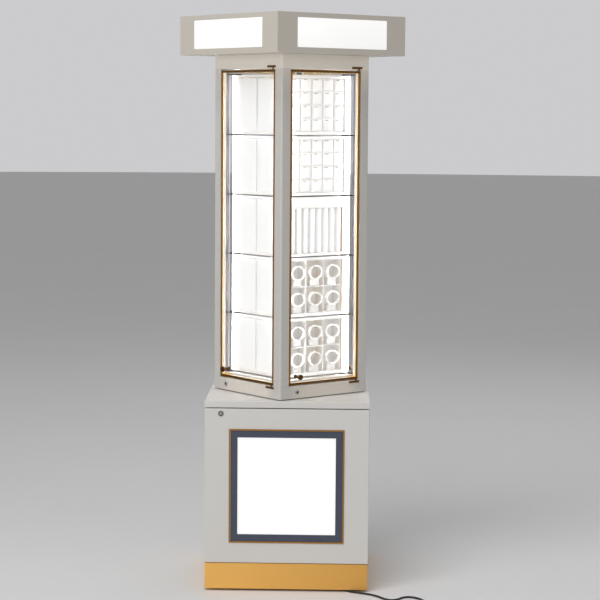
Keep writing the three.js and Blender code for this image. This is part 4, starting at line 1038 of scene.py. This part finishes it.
def holder(bm, x, front, z, foot_z):
    """Adds an oval padded ring holder, with its bore along Y, on its foot."""
    soft = 0.0024
    outer = 0.0264
    inner = 0.0214 + soft
    depth = 0.0119
    flat = 0.0222 / 0.0265
    profile = (arc(outer - soft, soft, soft, -90, 4) + arc(outer - soft, depth - soft, soft, 0, 4)
               + arc(inner, depth - soft, soft, 90, 4) + arc(inner, soft, soft, 180, 4))
    spun(bm, profile, (x, front, z), (0, 1, 0), closed=True, stretch=(1, 1, flat))
    slab(bm, (x - 0.0168, front + 0.0081, foot_z), (x + 0.0168, front + 0.0198, z - outer * flat + 0.0022),
         0.0018)


def side_lines(areas, proud):
    """Thin bars over areas of a block's front, repeated on its three plain sides."""
    bm = bmesh.new()
    for face in PLAIN_SIDES:
        row = bmesh.new()
        for left, low, right, high in areas:
            slab(row, (left, -BLOCK_HALF - proud, low), (right, -BLOCK_HALF + 0.0003, high), THIN_ROUND, 1)
        onto_face(row, face)
        joined(bm, row)
    return bm


def grid(half, columns, rows, foot):
    """The middles of a block's bays or pads, as x and z."""
    pitch_x = 2 * half / columns
    pitch_z = FIELD_HEIGHT / rows
    return [(-half + (column + 0.5) * pitch_x, foot + BLOCK_BORDER + (row + 0.5) * pitch_z)
            for column in range(columns) for row in range(rows)]


class CABINET_OT_blocks(bpy.types.Operator):
    """Cover the display blocks and mount their cushions, pads, rolls and holders"""

    bl_idname = "cabinet.blocks"
    bl_label = "Display blocks"

    def execute(self, context):
        padding = context.scene.cabinet_padding
        form = cushion_form("large_cushion", CUSHION_HALF - CUSHION_GAP / 2 - 0.0002, FIELD_HEIGHT,
                            padding.edge, padding.crown, padding.pull, (19, 2, 29), 3.0, padding.swell)
        for number, kind in enumerate(BLOCK_KINDS, 1):
            node = f"display_block_{number}"
            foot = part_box(node)[0].z
            bm = block_shell(kind)
            moved(bm, (0, 0, foot))
            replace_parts(soft_piece(f"block_{number}_shell", bm, 0, BLOCK_FINISHES), node)
            self.side_painted_shadows(number, foot)
            self.side_cushions(number, foot, form)
            getattr(self, kind)(number, foot, padding)
        return {"FINISHED"}

    def side_painted_shadows(self, number, foot):
        """Painted shadow on each of the three plain sides: dark dashes under the top border, and brownish
        lines along the cushions' outer edges and foot where their creases are shaded.
        """
        top = foot + BLOCK_HEIGHT - BLOCK_BORDER
        slits = [(left, top + 0.0003, right, top + 0.0013) for left, right in BORDER_SHADOW_DASHES]
        soft_piece(f"cushion_shadow_dashes_{number}", side_lines(slits, 0.0004), None, "slit")
        low = foot + 0.0040
        high = top + 0.0030
        side = CUSHION_HALF + 0.0075
        # Brownish lines of painted shade along the cushions' outer edges and foot
        crease_shadows = ((-side - 0.0006, low, -side + 0.0006, high), (side - 0.0006, low, side + 0.0006, high),
                 (-side, low - 0.0005, side, low + 0.0005))
        soft_piece(f"cushion_crease_shadows_{number}", side_lines(crease_shadows, 0.0003), None, "tan")

    def side_cushions(self, number, foot, form):
        """Two cushions on each of the three plain sides."""
        for face in PLAIN_SIDES:
            for side, word in ((-1, "left"), (1, "right")):
                bm = bmesh.new()
                middle = side * (CUSHION_HALF + CUSHION_GAP / 2) / 2
                laid(bm, form, (middle, -BLOCK_HALF - HAIR, foot + BLOCK_HEIGHT / 2))
                softened(soft_piece(f"cushion_{number}_{face}_{word}", bm, face))

    def bays(self, number, foot, padding):
        """Six padded ring holders, one in each bay."""
        rings = bmesh.new()
        front = -BLOCK_HALF + BLOCK_RECESS - 0.00735
        drop = (FIELD_HEIGHT / BAY_ROWS - BAY_WALL) / 2 - 0.0001
        for x, z in grid(TRAY_HALF, BAY_COLUMNS, BAY_ROWS, foot):
            holder(rings, x, front, z + HOLDER_RISE, z - drop)
        soft_piece(f"ring_holders_{number}", rings, 0)

    def rolls(self, number, foot, padding):
        """Eight upright rolls below the plain band."""
        bm = bmesh.new()
        pitch = 2 * TRAY_HALF / ROLL_COUNT
        for i in range(ROLL_COUNT):
            roll(bm, -TRAY_HALF + (i + 0.5) * pitch, foot + BLOCK_BORDER + 0.0004,
                 foot + BLOCK_HEIGHT - ROLL_BAND - 0.0004, -BLOCK_HALF + ROLL_RECESS, (pitch - ROLL_GAP) / 2)
        soft_piece(f"rolls_{number}", bm, 0)

    def pads(self, number, foot, padding):
        """A grid of small pads, each with a hook's slot near its top, a dark box whose colour is painted
        shade.
        """
        bm = bmesh.new()
        slits = bmesh.new()
        width = 2 * PAD_HALF / PAD_COLUMNS - PAD_GAP
        height = FIELD_HEIGHT / PAD_ROWS - PAD_GAP
        floor = -BLOCK_HALF + BLOCK_RECESS - HAIR
        form = cushion_form("small_pad", width, height, 0.0035, padding.pad_crown, 0.0006, (7, 1, 7), 12.0,
                            padding.swell * 0.4)
        for x, z in grid(PAD_HALF, PAD_COLUMNS, PAD_ROWS, foot):
            laid(bm, form, (x, floor, z))
            top = z + height / 2
            # A dark box in each slot: the slot is real, its darkness is painted shade
            slab(slits, (x - 0.0115, floor - 0.0057, top - 0.0050),
                 (x + 0.0015, floor - 0.0010, top - 0.0032), 0.0006, 1)
        softened(soft_piece(f"pads_{number}", bm, 0))
        soft_piece(f"pad_slits_{number}", slits, 0, "slit")


class CABINET_OT_strips(bpy.types.Operator):
    """Fit the light strips into the corner racks"""

    bl_idname = "cabinet.strips"
    bl_label = "Light strips"

    def execute(self, context):
        for corner in DOORS:
            channel = bmesh.new()
            lens = bmesh.new()
            for level in range(RACK_LEVELS):
                foot = RACK_FOOT + level * BLOCK_PITCH + ARM_THICKNESS + STRIP_GAP
                top = RACK_FOOT + (level + 1) * BLOCK_PITCH - STRIP_GAP
                for far, near, left, right in CHANNEL_BARS:
                    slab(channel, (PROFILE_FRONT - far, left, foot), (PROFILE_FRONT - near, right, top))
                slab(lens, (PROFILE_FRONT - 0.0016, -0.0047, foot + 0.001),
                     (PROFILE_FRONT - 0.0007, 0.0047, top - 0.001), 0.0004)

            # The channel's inner flanks are dark
            bmesh.ops.recalc_face_normals(channel, faces=channel.faces)
            for flank in channel.faces:
                middle = flank.calc_center_median()
                if flank.normal.y * middle.y < 0 and abs(middle.y) > 0.004:
                    flank.material_index = 1
            for bm in (channel, lens):
                turned(bm, -math.pi / 4)
            piece(f"strip_channel_{corner + 1}", channel, "rack keyway", "tower", corner)
            piece(f"strip_{corner + 1}", lens, "strip_light", "tower", corner)
        return {"FINISHED"}


class CABINET_OT_panes(bpy.types.Operator):
    """Fit the opal panes into the header's windows"""

    bl_idname = "cabinet.panes"
    bl_label = "Header panes"

    def execute(self, context):
        for face in DOORS:
            bm = bmesh.new()
            slab(bm, PANE_LOW, PANE_HIGH, 0.0007)
            piece(f"header_pane_{face + 1}", bm, "header_light", "tower", face)
        return {"FINISHED"}


class CABINET_OT_fittings(bpy.types.Operator):
    """Fit the knobs, lock faces and hinge bars"""

    bl_idname = "cabinet.fittings"
    bl_label = "Fittings"

    def knob(self, face):
        """A turned knob: stem, flared head with a ring cut into its face, and the cap inside the pane."""
        low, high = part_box(f"door_{face + 1}_knob")
        z = (low.z + high.z) / 2
        bm = bmesh.new()
        spun(bm, KNOB_PROFILE, (KNOB_X, KNOB_FRONT, z), (0, -1, 0), steps=56)
        spun(bm, KNOB_CAP_PROFILE, (KNOB_X, KNOB_BACK, z), (0, 1, 0), steps=40)
        made = piece(f"knob_{face + 1}", bm, "knob", f"door_{face + 1}", face)
        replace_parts(made, f"door_{face + 1}_knob")

    def lock_face(self, node, x, front, radius, body, face=None):
        """A domed rim and a keyway on a lock's flange, at the height of its node."""
        name = node.replace("_barrel", "")
        low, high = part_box(node)
        z = (low.z + high.z) / 2
        profile = [(radius * r, rise) for r, rise in (
            (0.62, 0), (0.97, 0), (0.97, 0.0003), (0.86, 0.0009), (0.70, 0.0009), (0.62, 0.0004))]
        rim = bmesh.new()
        spun(rim, profile, (x, front, z), (0, -1, 0), steps=44, closed=True)
        key = bmesh.new()
        slab(key, (x - radius * 0.16, front - 0.0004, z - radius * 0.45),
             (x + radius * 0.16, front + 0.0002, z + radius * 0.45), THIN_ROUND, 1)
        piece(f"{name}_rim", rim, "steel", body, face)
        piece(f"{name}_keyway", key, "keyway", body, face)

    def hinge_bars(self, face):
        """Gold cover bars over the plates that carry the door's pins."""
        left = LEAF_PIVOT_X + HINGE_OVERHANG - HINGE_PLATE
        for word, foot, stub in (("upper", 1.5902, (1.5842, 1.5906)), ("lower", 0.6183, (0.6229, 0.6283))):
            bm = bmesh.new()
            slab(bm, (left, -TOWER_HALF - 0.0016, foot - 0.0006),
                 (left + HINGE_PLATE, -TOWER_HALF - 0.0007, foot + 0.0058), 0.0004)
            slab(bm, (LEAF_PIVOT_X - 0.0028, -TOWER_HALF - 0.0015, stub[0]),
                 (LEAF_PIVOT_X + 0.0028, -TOWER_HALF - 0.0007, stub[1]), 0.0003)
            piece(f"hinge_bar_{face + 1}_{word}", bm, "hinge_gold", "tower", face)

    def execute(self, context):
        for face in DOORS:
            self.knob(face)
            self.hinge_bars(face)
            self.lock_face(f"rail_lock_{face + 1}", RAIL_LOCK_X, -TOWER_HALF - 0.0018, RAIL_LOCK_RADIUS,
                           f"lock_{face + 1}", face)
        low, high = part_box("base_lock_barrel")
        self.lock_face("base_lock_barrel", (low.x + high.x) / 2, low.y, BASE_LOCK_RADIUS, "base_lock")
        return {"FINISHED"}


class CABINET_PT_panel(bpy.types.Panel):
    """The cabinet's pieces and settings"""

    bl_label = "Display cabinet"
    bl_idname = "CABINET_PT_panel"
    bl_space_type = "VIEW_3D"
    bl_region_type = "UI"
    bl_category = "Cabinet"

    def draw(self, context):
        for operator in OPERATORS:
            self.layout.operator(operator.bl_idname)
        for pointer, group in GROUPS.items():
            box = self.layout.box()
            for name in group.__annotations__:
                box.prop(getattr(context.scene, pointer), name)


OPERATORS = (
    CABINET_OT_camera, CABINET_OT_cord, CABINET_OT_stage, CABINET_OT_finishes, CABINET_OT_blocks,
    CABINET_OT_strips, CABINET_OT_panes, CABINET_OT_fittings,
)
GROUPS = {
    "cabinet_view": CabinetView,
    "cabinet_colours": CabinetColours,
    "cabinet_lights": CabinetLights,
    "cabinet_padding": CabinetPadding,
}
CLASSES = (*GROUPS.values(), *OPERATORS, CABINET_PT_panel)


def register():
    for cls in CLASSES:
        bpy.utils.register_class(cls)
    for name, group in GROUPS.items():
        setattr(bpy.types.Scene, name, bpy.props.PointerProperty(type=group))


def unregister():
    for name in GROUPS:
        delattr(bpy.types.Scene, name)
    for cls in reversed(CLASSES):
        bpy.utils.unregister_class(cls)


def main():
    """Builds every piece in order."""
    register()
    bpy.ops.cabinet.camera()
    bpy.ops.cabinet.cord()
    bpy.ops.cabinet.stage()
    bpy.ops.cabinet.finishes()
    bpy.ops.cabinet.blocks()
    bpy.ops.cabinet.strips()
    bpy.ops.cabinet.panes()
    bpy.ops.cabinet.fittings()


if __name__ == "__main__":
    main()
